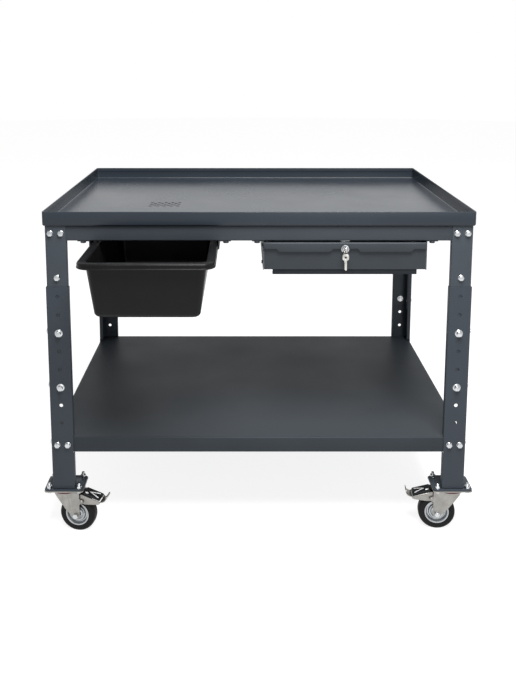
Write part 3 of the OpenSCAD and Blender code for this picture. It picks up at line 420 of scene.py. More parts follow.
class Shape:
    """A mesh under construction, in bench millimetres."""

    def __init__(self) -> None:
        """Starts an empty mesh."""
        self.bm = bmesh.new()

    def rings(self, rings: Sequence[Sequence[Point3]], closed: bool = False) -> Shape:
        """Skins a row of rings with quads, and fills the first and last ring of an open row.

        Args:
            rings: Rings with the same number of points.
            closed: Whether the last ring joins the first.

        Returns:
            This shape.
        """
        made = [[self.bm.verts.new(p) for p in ring] for ring in rings]
        count = len(made[0])
        pairs = list(zip(made, made[1:])) + ([(made[-1], made[0])] if closed else [])
        for a, b in pairs:
            for i in range(count):
                j = (i + 1) % count
                self.bm.faces.new((a[i], a[j], b[j], b[i]))
        if not closed:
            self.bm.faces.new(made[0][::-1])
            self.bm.faces.new(made[-1])
        return self

    def prism(self, outline: Sequence[Point2], place: Place, low: float, high: float) -> Shape:
        """Draws a closed outline out between two levels, by a place that makes the points."""
        return self.rings([[place(u, v, level) for u, v in outline] for level in (low, high)])

    def revolve(self, profile: Sequence[Point2], place: Place, count: int) -> Shape:
        """Turns a closed profile of radius and height round its axis.

        Args:
            profile: Closed profile of (radius, height) points.
            place: Turns two cross coordinates and the height into a point.
            count: Steps round the axis.

        Returns:
            This shape.
        """
        rings = []
        for i in range(count):
            a = math.tau * i / count
            rings.append([place(r * math.cos(a), r * math.sin(a), h) for r, h in profile])
        return self.rings(rings, closed=True)

    def inset_rings(self, profile: Sequence[Point2], width: float, depth: float,
                    radius: Callable[[float], float], middle: Point2 = (0.0, 0.0),
                    steps: int = 6) -> Shape:
        """Leads a profile round a rectangle with round corners.

        Args:
            profile: Points of (inset from the rectangle's sides, level).
            width: The rectangle's size along X.
            depth: The rectangle's size along Y.
            radius: Gives the corners' radius at an inset.
            middle: The rectangle's middle.
            steps: Straight pieces per corner.

        Returns:
            This shape.
        """
        return self.rings([
            [(middle[0] + x, middle[1] + y, z)
             for x, y in rounded_rect(width - 2 * inset, depth - 2 * inset, radius(inset), steps)]
            for inset, z in profile
        ])

    def sheet(self, grid: Sequence[Sequence[Point3]]) -> Shape:
        """Makes one open surface from a grid of points.

        Args:
            grid: Rows of points.

        Returns:
            This shape.
        """
        made = [[self.bm.verts.new(p) for p in row] for row in grid]
        for a, b in zip(made, made[1:]):
            for i in range(len(a) - 1):
                self.bm.faces.new((a[i], a[i + 1], b[i + 1], b[i]))
        return self

    def piece(self, name: str, closed: bool = True) -> bpy.types.Object:
        """Turns the shape into a piece at the origin, with its mesh in the frame's metres.

        Args:
            name: The piece's name.
            closed: Whether the shape is closed, so that its faces can be turned outwards.

        Returns:
            The new piece.
        """
        bmesh.ops.remove_doubles(self.bm, verts=self.bm.verts, dist=WELD)
        if closed:
            bmesh.ops.recalc_face_normals(self.bm, faces=self.bm.faces)
        for v in self.bm.verts:
            v.co = at(*v.co)
        return linked(name, baked(self.bm, name))


def baked(bm: bmesh.types.BMesh, name: str) -> bpy.types.Mesh:
    """Turns a bmesh into a new mesh and frees it.

    Args:
        bm: The bmesh.
        name: The mesh's name.

    Returns:
        The new mesh.
    """
    mesh = bpy.data.meshes.new(name)
    bm.to_mesh(mesh)
    bm.free()
    return mesh


def linked(name: str, data: bpy.types.ID) -> bpy.types.Object:
    """Puts data, such as a mesh, into the scene as an object at the origin.

    Args:
        name: The object's name.
        data: Its data.

    Returns:
        The new object.
    """
    piece = bpy.data.objects.new(name, data)
    bpy.context.scene.collection.objects.link(piece)
    return piece


def evaluated_mesh(piece: bpy.types.Object) -> bpy.types.Mesh:
    """Turns an object, as it is after its modifiers, into a new mesh.

    Args:
        piece: The object.

    Returns:
        The new mesh.
    """
    bpy.context.view_layer.update()
    graph = bpy.context.evaluated_depsgraph_get()
    return bpy.data.meshes.new_from_object(piece.evaluated_get(graph), depsgraph=graph)


def settled(piece: bpy.types.Object) -> bpy.types.Object:
    """Turns a piece's modifiers into its plain mesh.

    Args:
        piece: The piece.

    Returns:
        The same piece.
    """
    mesh, old = evaluated_mesh(piece), piece.data
    piece.modifiers.clear()
    piece.data = mesh
    mesh.name = piece.name
    bpy.data.meshes.remove(old)
    return piece


def eased(piece: bpy.types.Object, width_mm: float, steps: int = 2, angle: float = 35.0) -> bpy.types.Object:
    """Rounds a piece's sharp edges.

    Args:
        piece: The piece.
        width_mm: Width of the rounding.
        steps: Straight pieces across it.
        angle: Least angle between faces that counts as an edge, in degrees.

    Returns:
        The same piece.
    """
    bevel = piece.modifiers.new("eased_edges", "BEVEL")
    bevel.width = width_mm / 1000
    bevel.segments = steps
    bevel.limit_method = "ANGLE"
    bevel.angle_limit = math.radians(angle)
    bevel.harden_normals = False
    bevel.miter_outer = "MITER_ARC"
    return settled(piece)


def walled(piece: bpy.types.Object, sheet_mm: float, offset: float) -> bpy.types.Object:
    """Gives an open surface a sheet's thickness.

    Args:
        piece: The piece.
        sheet_mm: The sheet's thickness.
        offset: -1 for a wall inside the surface, 0 for one on both sides.

    Returns:
        The same piece.
    """
    wall = piece.modifiers.new("sheet", "SOLIDIFY")
    wall.thickness = sheet_mm / 1000
    wall.offset = offset
    return settled(piece)


def shaded(piece: bpy.types.Object) -> None:
    """Smooths a piece's shading except across its sharp edges.

    Args:
        piece: The piece.
    """
    bm = bmesh.new()
    bm.from_mesh(piece.data)
    limit = math.radians(SMOOTH_BELOW)
    for face in bm.faces:
        face.smooth = True
    for edge in bm.edges:
        edge.smooth = len(edge.link_faces) == 2 and edge.calc_face_angle(0.0) < limit
    bm.to_mesh(piece.data)
    bm.free()


def dressed(piece: bpy.types.Object, finish: Finish, slot: Slot, body: str, *nodes: str) -> None:
    """Gives a piece its finish, its body and the CAD nodes it stands for.

    Args:
        piece: The finished piece at the origin.
        finish: Its finish.
        slot: The record's slot of its finish; not used.
        body: The CAD body that it rides on.
        *nodes: The CAD nodes that it replaces.
    """
    piece.data.materials.clear()
    piece.data.materials.append(finish.material())
    shaded(piece)
    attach(piece, body)
    if nodes:
        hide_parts(*nodes)
    log.info("%s: %d faces, %s, rides on %s", piece.name, len(piece.data.polygons), finish.name, body)


def dressed_copy(node: str, width_mm: float, finish: Finish, slot: Slot, body: str) -> None:
    """Copies a CAD node's mesh, merges it, rounds its edges and dresses it in the node's place.

    Args:
        node: The CAD node.
        width_mm: Width of the rounding.
        finish: The copy's finish.
        slot: The record's slot of its finish.
        body: The CAD body that it rides on.
    """
    bm = bmesh.new()
    bm.from_mesh(frame["nodes"][node].data)
    bmesh.ops.remove_doubles(bm, verts=bm.verts, dist=WELD_METRES)
    bmesh.ops.dissolve_limit(bm, angle_limit=math.radians(FLAT_BELOW), verts=bm.verts, edges=bm.edges)
    piece = linked(node + "_piece", baked(bm, node + "_piece"))
    dressed(eased(piece, width_mm), finish, slot, body, node)


def painted_node(node: str, finish: Finish) -> None:
    """Gives a CAD node that stays a finish through its material slots.

    Args:
        node: The CAD node.
        finish: Its finish.
    """
    mesh = frame["nodes"][node].data
    if not mesh.materials:
        mesh.materials.append(finish.material())
    for i in range(len(mesh.materials)):
        mesh.materials[i] = finish.material()
    log.info("%s: kept, %s", node, finish.name)


class NodeTool:
    """A Geometry Nodes tree with named inputs."""

    def __init__(self, name: str, sizes: dict[str, tuple[str, object]]) -> None:
        """Makes the tree's interface, with a Material input after its sizes.

        Args:
            name: The tree's name.
            sizes: Name of each input with its socket type and its default.
        """
        self.tree = bpy.data.node_groups.new(name, "GeometryNodeTree")
        face = self.tree.interface
        face.new_socket(name="Geometry", in_out="INPUT", socket_type="NodeSocketGeometry")
        self.ids: dict[str, str] = {}
        for label, (kind, default) in {**sizes, "Material": ("Material", None)}.items():
            socket = face.new_socket(name=label, in_out="INPUT", socket_type="NodeSocket" + kind)
            if default is not None:
                socket.default_value = default
            self.ids[label] = socket.identifier
        face.new_socket(name="Geometry", in_out="OUTPUT", socket_type="NodeSocketGeometry")
        self.inputs = add(self.tree, "NodeGroupInput").outputs

    def ends(self, geometry: bpy.types.NodeSocket) -> None:
        """Realizes the instances, sets the material and closes the tree.

        Args:
            geometry: What the tree has made.
        """
        real = add(self.tree, "GeometryNodeRealizeInstances", Geometry=geometry)
        done = add(
            self.tree, "GeometryNodeSetMaterial", Geometry=real.outputs[0], Material=self.inputs["Material"]
        )
        add(self.tree, "NodeGroupOutput", Geometry=done.outputs[0])

    def apply(self, piece: bpy.types.Object, **values: object) -> bpy.types.Object:
        """Runs the tree on a piece and keeps the result as its mesh.

        Args:
            piece: The piece.
            **values: The tree's inputs by name, underscores for spaces.

        Returns:
            The same piece.
        """
        modifier = piece.modifiers.new(self.tree.name, "NODES")
        modifier.node_group = self.tree
        for key, value in values.items():
            modifier[self.ids[key.replace("_", " ")]] = value
        return settled(piece)


def perforation_tool() -> NodeTool:
    """Makes the tree that drills a row, or rows, of round holes.

    Returns:
        The tool, which works on the mesh that is drilled.
    """
    tool = NodeTool("hole_rows", {
        "Diameter": ("Float", 0.01),
        "Depth": ("Float", 0.012),
        "Start": ("Vector", (0.0, 0.0, 0.0)),
        "Step": ("Vector", (0.0, 0.0, 0.05)),
        "Count": ("Int", 1),
        "Row step": ("Vector", (0.0, 0.0, 0.0)),
        "Rows": ("Int", 1),
        "Axis": ("Vector", (0.0, 0.0, 1.0)),
    })
    tree, size = tool.tree, tool.inputs
    row = add(
        tree, "GeometryNodeMeshLine", Count=size["Count"], Start_Location=size["Start"], Offset=size["Step"]
    )
    rows = add(tree, "GeometryNodeMeshLine", Count=size["Rows"], Offset=size["Row step"])
    grid = add(tree, "GeometryNodeInstanceOnPoints", Points=rows.outputs[0], Instance=row.outputs[0])
    points = add(tree, "GeometryNodeRealizeInstances", Geometry=grid.outputs[0])
    radius = add(tree, "ShaderNodeMath", {"operation": "MULTIPLY"}, i0=size["Diameter"], i1=0.5)
    drill = add(tree, "GeometryNodeMeshCylinder", Vertices=32, Radius=radius.outputs[0], Depth=size["Depth"])
    turn = add(tree, "FunctionNodeAlignRotationToVector", {"axis": "Z"}, Vector=size["Axis"])
    drills = add(
        tree, "GeometryNodeInstanceOnPoints", Points=points.outputs[0], Instance=drill.outputs[0],
        Rotation=turn.outputs[0],
    )
    cut = add(
        tree, "GeometryNodeMeshBoolean", {"operation": "DIFFERENCE", "solver": "EXACT"}, i0=size["Geometry"],
        i1=drills.outputs[0],
    )
    tool.ends(cut.outputs[0])
    return tool


def bolt_tool() -> NodeTool:
    """Makes the tree that puts a bolt with its washer and nut at each point.

    Returns:
        The tool, which works on a mesh of points with an axis attribute.
    """
    tool = NodeTool("bolts_on_points", {
        "Flange": ("Float", 0.016),
        "Head": ("Float", 0.006),
        "Flats": ("Float", 0.013),
        "Shank": ("Float", 0.008),
        "Grip": ("Float", 0.004),
        "Washer": ("Float", 0.0003),
        "Nut": ("Float", 0.0065),
        "Stud": ("Float", 0.001),
        "Threads": ("Int", 1),
    })
    tree, size = tool.tree, tool.inputs

    def maths(operation: str, a: object, b: object) -> bpy.types.NodeSocket:
        """Returns the result of a sum or product of two numbers or sockets."""
        return add(tree, "ShaderNodeMath", {"operation": operation}, i0=a, i1=b).outputs[0]

    def share(label: str, factor: float) -> bpy.types.NodeSocket:
        """Returns one of the sizes times a factor."""
        return maths("MULTIPLY", size[label], factor)

    def raised(mesh: bpy.types.Node, height: bpy.types.NodeSocket) -> bpy.types.NodeSocket:
        """Returns a node's mesh lifted along Z."""
        lift = add(tree, "ShaderNodeCombineXYZ", Z=height).outputs[0]
        return add(tree, "GeometryNodeTransform", Geometry=mesh.outputs[0], Translation=lift).outputs[0]

    def rod(sides: int, radius: bpy.types.NodeSocket, depth: bpy.types.NodeSocket) -> bpy.types.Node:
        """Returns a node that makes a cylinder or a hexagon about its middle."""
        return add(tree, "GeometryNodeMeshCylinder", Vertices=sides, Radius=radius, Depth=depth)

    def cone(sides: int, top: bpy.types.NodeSocket, bottom: bpy.types.NodeSocket,
             depth: object) -> bpy.types.Node:
        """Returns a node that makes a cone on its base."""
        shape = {"Vertices": sides, "Radius_Top": top, "Radius_Bottom": bottom, "Depth": depth}
        return add(tree, "GeometryNodeMeshCone", **shape)

    # From its middle to a corner, a hexagon has its width across flats over twice the cosine of 30 degrees
    corner = share("Flats", 0.57735)
    flange_r = share("Flange", 0.5)
    shank_r = share("Shank", 0.5)
    body_h = share("Head", 0.90)
    nut_top = maths("SUBTRACT", share("Grip", -1.0), size["Washer"])
    nut_bottom = maths("SUBTRACT", nut_top, size["Nut"])
    tip = maths("SUBTRACT", nut_bottom, size["Stud"])
    flange = cone(32, share("Flats", 0.5), flange_r, share("Head", 0.28))
    head = rod(6, corner, body_h)
    cap = cone(6, maths("MULTIPLY", corner, 0.82), corner, share("Head", 0.10))
    washer = rod(32, flange_r, size["Washer"])
    nut = rod(6, corner, size["Nut"])
    shank = rod(16, shank_r, maths("MULTIPLY", tip, -1.0))
    ridge = cone(16, share("Shank", 0.46), shank_r, 0.001)
    first = add(tree, "ShaderNodeCombineXYZ", Z=maths("ADD", tip, 0.0002))
    step = add(tree, "ShaderNodeCombineXYZ", Z=maths("DIVIDE", size["Stud"], size["Threads"]))
    turns = add(
        tree, "GeometryNodeMeshLine", Count=size["Threads"], Start_Location=first.outputs[0],
        Offset=step.outputs[0],
    )
    ridges = add(
        tree, "GeometryNodeInstanceOnPoints", Points=turns.outputs[0], Instance=ridge.outputs[0],
        Scale=(1.06, 1.06, 1.0),
    )
    joined = add(tree, "GeometryNodeJoinGeometry")
    for part in (
        flange.outputs[0],
        raised(head, maths("MULTIPLY", body_h, 0.5)),
        raised(cap, body_h),
        raised(washer, maths("ADD", nut_top, share("Washer", 0.5))),
        raised(nut, maths("MULTIPLY", maths("ADD", nut_top, nut_bottom), 0.5)),
        raised(shank, maths("MULTIPLY", tip, 0.5)),
        ridges.outputs[0],
    ):
        tree.links.new(part, joined.inputs[0])
    axis = add(tree, "GeometryNodeInputNamedAttribute", {"data_type": "FLOAT_VECTOR"}, Name="axis")
    turn = add(tree, "FunctionNodeAlignRotationToVector", {"axis": "Z"}, Vector=axis.outputs[0])
    placed = add(
        tree, "GeometryNodeInstanceOnPoints", Points=size["Geometry"], Instance=joined.outputs[0],
        Rotation=turn.outputs[0],
    )
    tool.ends(placed.outputs[0])
    return tool


HOLES = perforation_tool()
BOLTS = bolt_tool()


@dataclass
class TrayTop:
    """The folded tray, its drain and the four beams under it."""

    hem: float = 12.0
    hem_w: float = 3.0
    hem_round: float = 1.45
    hem_lead: float = 6.0
    wall_in: float = 2.05
    corner: float = 9.0
    least_corner: float = 2.0
    bend: float = 3.0
    floor_edge: float = 8.0
    drain_x: float = -270.0
    drain_y: float = -103.0
    drain_d: float = 10.0
    drain_pitch: float = 20.0
    drain_row: float = 14.0
    relief_d: float = 12.5
    relief_drop: float = 5.5
    beam_h: float = 40.0
    flange: float = 25.0
    beam_x: float = 552.0
    beam_y: float = 392.0
    half_front: float = 549.0
    half_side: float = 366.0

    def tray(self) -> None:
        """Builds the pan with its rolled hem and drills the drain."""
        top = TRAY_Z + TRAY_H
        low = top - self.hem
        inner, outer = self.bend, self.bend + SHEET
        # The first and last points only lead into the folds, and are left out of the profile
        hem = filleted(
            [(0.0, low), (0.0, top), (self.hem_w, top), (self.hem_w, low), (self.wall_in, low),
             (self.wall_in, low - self.hem_lead)], self.hem_round, steps=4,
        )
        profile = [(self.floor_edge, TRAY_Z)] + arc(outer, TRAY_Z + outer, outer, 270, 180, 5) + hem[1:-1]
        profile += arc(self.wall_in + inner, TRAY_Z + SHEET + inner, inner, 180, 270, 5)
        profile.append((self.floor_edge, TRAY_Z + SHEET))
        shape = Shape().inset_rings(
            profile, BENCH_W, BENCH_D, lambda inset: max(self.corner - inset, self.least_corner)
        )
        piece = shape.piece("tray_pan")
        piece.data.materials.append(TRAY_COAT.material())
        # Three rows of five holes, and two rows of four between them
        for rows, count, first in ((3, 5, -2), (2, 4, -1)):
            x = self.drain_x - (count - 1) / 2 * self.drain_pitch
            y = self.drain_y + first * self.drain_row
            # Each hole goes through, and a wider one from below thins the sheet round it
            for wide, drop in ((self.drain_d, 0.0), (self.relief_d, self.relief_drop)):
                HOLES.apply(
                    piece, Diameter=wide / 1000, Start=at(x, y, TRAY_Z + HALF_SHEET - drop),
                    Count=count, Step=metres(self.drain_pitch, 0, 0), Rows=rows,
                    Row_step=metres(0, 2 * self.drain_row, 0), Material=TRAY_COAT.material(),
                )
        dressed(piece, TRAY_COAT, Slot.TRAY, "frame", "tray")

    def beam(self, name: str, place: Place, half: float) -> None:
        """Builds one channel beam.

        Args:
            name: The side of the bench that it is on.
            place: Turns depth behind its web, level and length into a point.
            half: Half its length.
        """
        low, high = TRAY_Z - self.beam_h + HALF_SHEET, TRAY_Z - HALF_SHEET
        section = sheet_outline(
            [(self.flange, low), (HALF_SHEET, low), (HALF_SHEET, high), (self.flange, high)]
        )
        piece = Shape().prism(section, place, -half, half).piece(f"beam_{name}")
        dressed(eased(piece, 0.3, steps=1), BEAM_COAT, Slot.BEAM, "frame", f"apron_{name}")

    def build(self) -> None:
        """Builds the tray and its beams."""
        self.tray()
        for end in End:
            self.beam(
                end.name.lower(), lambda u, v, x: (x, end.value * (self.beam_y - u), v), self.half_front
            )
        for side in Side:
            self.beam(
                side.name.lower(), lambda u, v, y: (side.value * (self.beam_x - u), y, v), self.half_side
            )


@dataclass
class CornerUnit:
    """A sub-assembly that stands at one of the bench's corners."""

    side: Side
    end: End

    @property
    def corner(self) -> str:
        """The corner's name, as in front_left."""
        return f"{self.end.name.lower()}_{self.side.name.lower()}"


@dataclass
class Leg(CornerUnit):
    """One telescopic corner leg: the post, its sleeve and their rows of holes."""

    face: float = 55.0
    depth: float = 45.0
    face_lip: float = 15.0
    side_lip: float = 12.0
    hole: float = 10.0
    post_low: float = 395.0
    beam_low: float = 817.0
    post_holes: int = 3
    sleeve_grow: float = 5.0
    sleeve_top: float = 695.0
    shelf_cut: tuple[float, float] = (232.0, 282.0)
    sleeve_hole_z: float = 319.5
    sleeve_holes: int = 8
    weld: tuple[float, float, float] = (3.0, 6.5, 1.4)

    def section(self, grow: float, lips: bool) -> list[Point2]:
        """Draws the folded section of a post or sleeve.

        Args:
            grow: How much larger than a post's it is.
            lips: Whether it has its lips.

        Returns:
            The section's closed outline.
        """
        face, depth = self.face + grow, self.depth + grow
        near, far, deep = HALF_SHEET, face - HALF_SHEET, depth - HALF_SHEET
        line = [(far, near), (near, near), (near, deep)]
        if lips:
            line = [(far, self.face_lip)] + line + [(self.side_lip, deep)]
        return sheet_outline(line)

    def profile(self, kind: str, x: float, y: float, grow: float,
                spans: Iterable[tuple[float, float, float, bool]]) -> bpy.types.Object:
        """Draws the section up through its spans.

        Args:
            kind: What the piece is, for its name.
            x: Distance of the outer side face from the middle.
            y: Distance of the outer front face from the middle.
            grow: How much larger than a post's section it is.
            spans: Low level, high level, how far it stands out, and whether the lips are there.

        Returns:
            The piece before its holes.
        """
        sx, sy = self.side.value, self.end.value
        shape = Shape()
        for low, high, out, lips in spans:
            shape.prism(
                self.section(grow + out, lips),
                lambda u, v, z: (sx * (x + out - u), sy * (y + out - v), z), low, high,
            )
        return shape.piece(f"{kind}_{self.corner}_piece")

    def finish(self, piece: bpy.types.Object, kind: str, x: float, y: float, low: float, count: int,
               pitch: float, coat: Finish, slot: Slot) -> None:
        """Drills the rows of holes in both walls of a piece, and dresses it.

        Args:
            piece: The post or sleeve.
            kind: Its CAD node's name without the corner.
            x: Distance of its outer side face from the middle.
            y: Distance of its outer front face from the middle.
            low: Level of the lowest hole.
            count: Number of holes in a row.
            pitch: Distance between two holes.
            coat: The piece's finish.
            slot: The record's slot of its finish.
        """
        for start, axis in (
            (at(self.side.value * LEG_X, self.end.value * (y - HALF_SHEET), low), (0.0, 1.0, 0.0)),
            (at(self.side.value * (x - HALF_SHEET), self.end.value * SIDE_HOLE_Y, low), (1.0, 0.0, 0.0)),
        ):
            HOLES.apply(
                piece, Diameter=self.hole / 1000, Start=start, Axis=axis, Step=metres(0, 0, pitch),
                Count=count, Material=coat.material(),
            )
        dressed(eased(piece, 0.35, steps=1, angle=50), coat, slot, "frame", f"{kind}_{self.corner}")

    def build(self) -> None:
        """Builds the post and the sleeve."""
        spans = [(self.post_low, self.beam_low, 0.0, True), (self.beam_low, TRAY_Z, 0.0, False)]
        post = self.profile("post", POST_X, POST_Y, 0.0, spans)
        self.finish(
            post, "post", POST_X, POST_Y, LAST_HOLE_Z, self.post_holes, POST_PITCH, POST_COAT, Slot.POST
        )
        weld_low, weld_high, weld_out = self.weld
        cut_low, cut_high = self.shelf_cut
        spans = [
            (FOOT_TOP + weld_low, FOOT_TOP + weld_high, weld_out, False), (FOOT_TOP, cut_low, 0.0, True),
            (cut_low, cut_high, 0.0, False), (cut_high, self.sleeve_top, 0.0, True),
        ]
        sleeve = self.profile("sleeve", SLEEVE_X, SLEEVE_Y, self.sleeve_grow, spans)
        self.finish(
            sleeve, "sleeve", SLEEVE_X, SLEEVE_Y, self.sleeve_hole_z, self.sleeve_holes, HOLE_PITCH,
            SLEEVE_COAT, Slot.SLEEVE,
        )


@dataclass
class LowerShelf:
    """The folded shelf between the sleeves, and the painted foot plates."""

    top: float = 278.0
    height: float = 42.0
    half_w: float = 554.2
    half_d: float = 394.2
    back_edge: float = 14.0
    floor_edge: float = 8.0
    bend: float = 3.0
    least_corner: float = 0.4
    fold_round: float = 2.6

    def build(self) -> None:
        """Builds the shelf and dresses the foot plates."""
        low = self.top - self.height
        profile = filleted(
            [(self.floor_edge, self.top), (0.0, self.top), (0.0, low), (self.back_edge, low),
             (self.back_edge, low + SHEET), (SHEET, low + SHEET), (SHEET, self.top - SHEET),
             (self.floor_edge, self.top - SHEET)], self.fold_round, steps=4,
        )
        piece = Shape().inset_rings(
            profile, 2 * self.half_w, 2 * self.half_d,
            lambda inset: max(self.bend - inset, self.least_corner), steps=3,
        ).piece("shelf_piece")
        # The shelf wears the darker coat of painted shade
        dressed(piece, SHELF_PAINTED_SHADE_COAT, Slot.SHELF, "frame", "shelf")
        dressed_copy("foot_plates", 0.6, SLEEVE_COAT, Slot.SLEEVE, "frame")


@dataclass
class Fasteners:
    """Every bolt of the frame, placed by one tree on points with an axis."""

    flange: float = 16.0
    clamp: float = 21.0
    head: float = 6.0
    clamp_head: float = 10.0
    flats: float = 13.0
    shank: float = 8.0
    pair: float = 14.0
    beam_z: float = 838.0
    beam_side_y: float = 364.0
    shelf_z: float = 257.0
    plate_x: float = 40.0
    plate_y: float = 30.0

    def group(self, name: str, seats: Sequence[tuple[Point3, Point3]], grip: float, head: float,
              flange: float, node: str = "", washer: float = 0.3, stud: float = 1.0,
              threads: int = 1) -> None:
        """Puts one kind of bolt on its seats.

        Args:
            name: The piece's name.
            seats: Point under each head, and the direction that the head faces.
            grip: Distance between head and nut.
            head: Height of the head.
            flange: Diameter of the head's flange.
            node: The CAD node it replaces, if it does.
            washer: Thickness of the washer under the nut.
            stud: Length of the thread past the nut.
            threads: Ridges drawn on the stud.
        """
        mesh = bpy.data.meshes.new(name)
        mesh.from_pydata([at(*p) for p, _ in seats], [], [])
        axis = mesh.attributes.new("axis", "FLOAT_VECTOR", "POINT")
        for i, (_, direction) in enumerate(seats):
            axis.data[i].vector = direction
        piece = BOLTS.apply(
            linked(name, mesh), Flange=flange / 1000, Head=head / 1000, Flats=self.flats / 1000,
            Shank=self.shank / 1000, Grip=grip / 1000, Washer=washer / 1000, Stud=stud / 1000,
            Threads=threads, Material=BOLT_ZINC.material(),
        )
        piece = eased(piece, 0.25, steps=1, angle=40)
        dressed(piece, BOLT_ZINC, Slot.BOLT, "frame", *([node] if node else []))

    def build(self) -> None:
        """Places the frame's, the clamping, the shelf's, the casters' and the rails' bolts."""
        frame_seats, clamp_seats, side_seats, shelf_seats, caster_seats = [], [], [], [], []
        clamp_levels = (LAST_HOLE_Z, LAST_HOLE_Z + POST_PITCH)
        for sx, sy in ((side.value, end.value) for side in Side for end in End):
            out_y, out_x, down = (0.0, float(sy), 0.0), (float(sx), 0.0, 0.0), (0.0, 0.0, -1.0)
            for dx in (-self.pair, self.pair):
                frame_seats.append(((sx * LEG_X + dx, sy * POST_Y, self.beam_z), out_y))
                shelf_seats.append(((sx * LEG_X + dx, sy * SLEEVE_Y, self.shelf_z), out_y))
            frame_seats.append(((sx * POST_X, sy * self.beam_side_y, self.beam_z), out_x))
            frame_seats.append(((sx * LEG_X, sy * POST_Y, LAST_HOLE_Z + 2 * POST_PITCH), out_y))
            shelf_seats.append(((sx * SLEEVE_X, sy * SIDE_HOLE_Y, self.shelf_z), out_x))
            clamp_seats += [((sx * LEG_X, sy * SLEEVE_Y, z), out_y) for z in clamp_levels]
            side_seats += [((sx * SLEEVE_X, sy * SIDE_HOLE_Y, z), out_x) for z in clamp_levels]
            caster_seats += [
                ((sx * LEG_X + dx, sy * FOOT_Y + dy, PLATE_BOTTOM), down)
                for dx in (-self.plate_x, self.plate_x) for dy in (-self.plate_y, self.plate_y)
            ]
        low, tall, wide = self.head, self.clamp_head, self.flange
        self.group("frame_bolts_piece", frame_seats, 4.0, low, wide, "frame_bolts")
        self.group("clamp_bolts_front", clamp_seats, 4.5, tall, self.clamp, "clamp_bolts")
        self.group("clamp_bolts_side", side_seats, 4.5, low, wide)
        self.group("shelf_bolts_piece", shelf_seats, 4.3, low, wide, "shelf_bolts")
        self.group(
            "caster_bolts_piece", caster_seats, 7.0, 4.6, self.flats, "caster_bolts", washer=1.6,
            stud=6.9, threads=6,
        )
        # The bolts under the beams wear the dark grey of painted shade
        dressed_copy("underframe_bolts", 0.25, PAINTED_SHADE_BOLT_ZINC, Slot.BOLT, "frame")


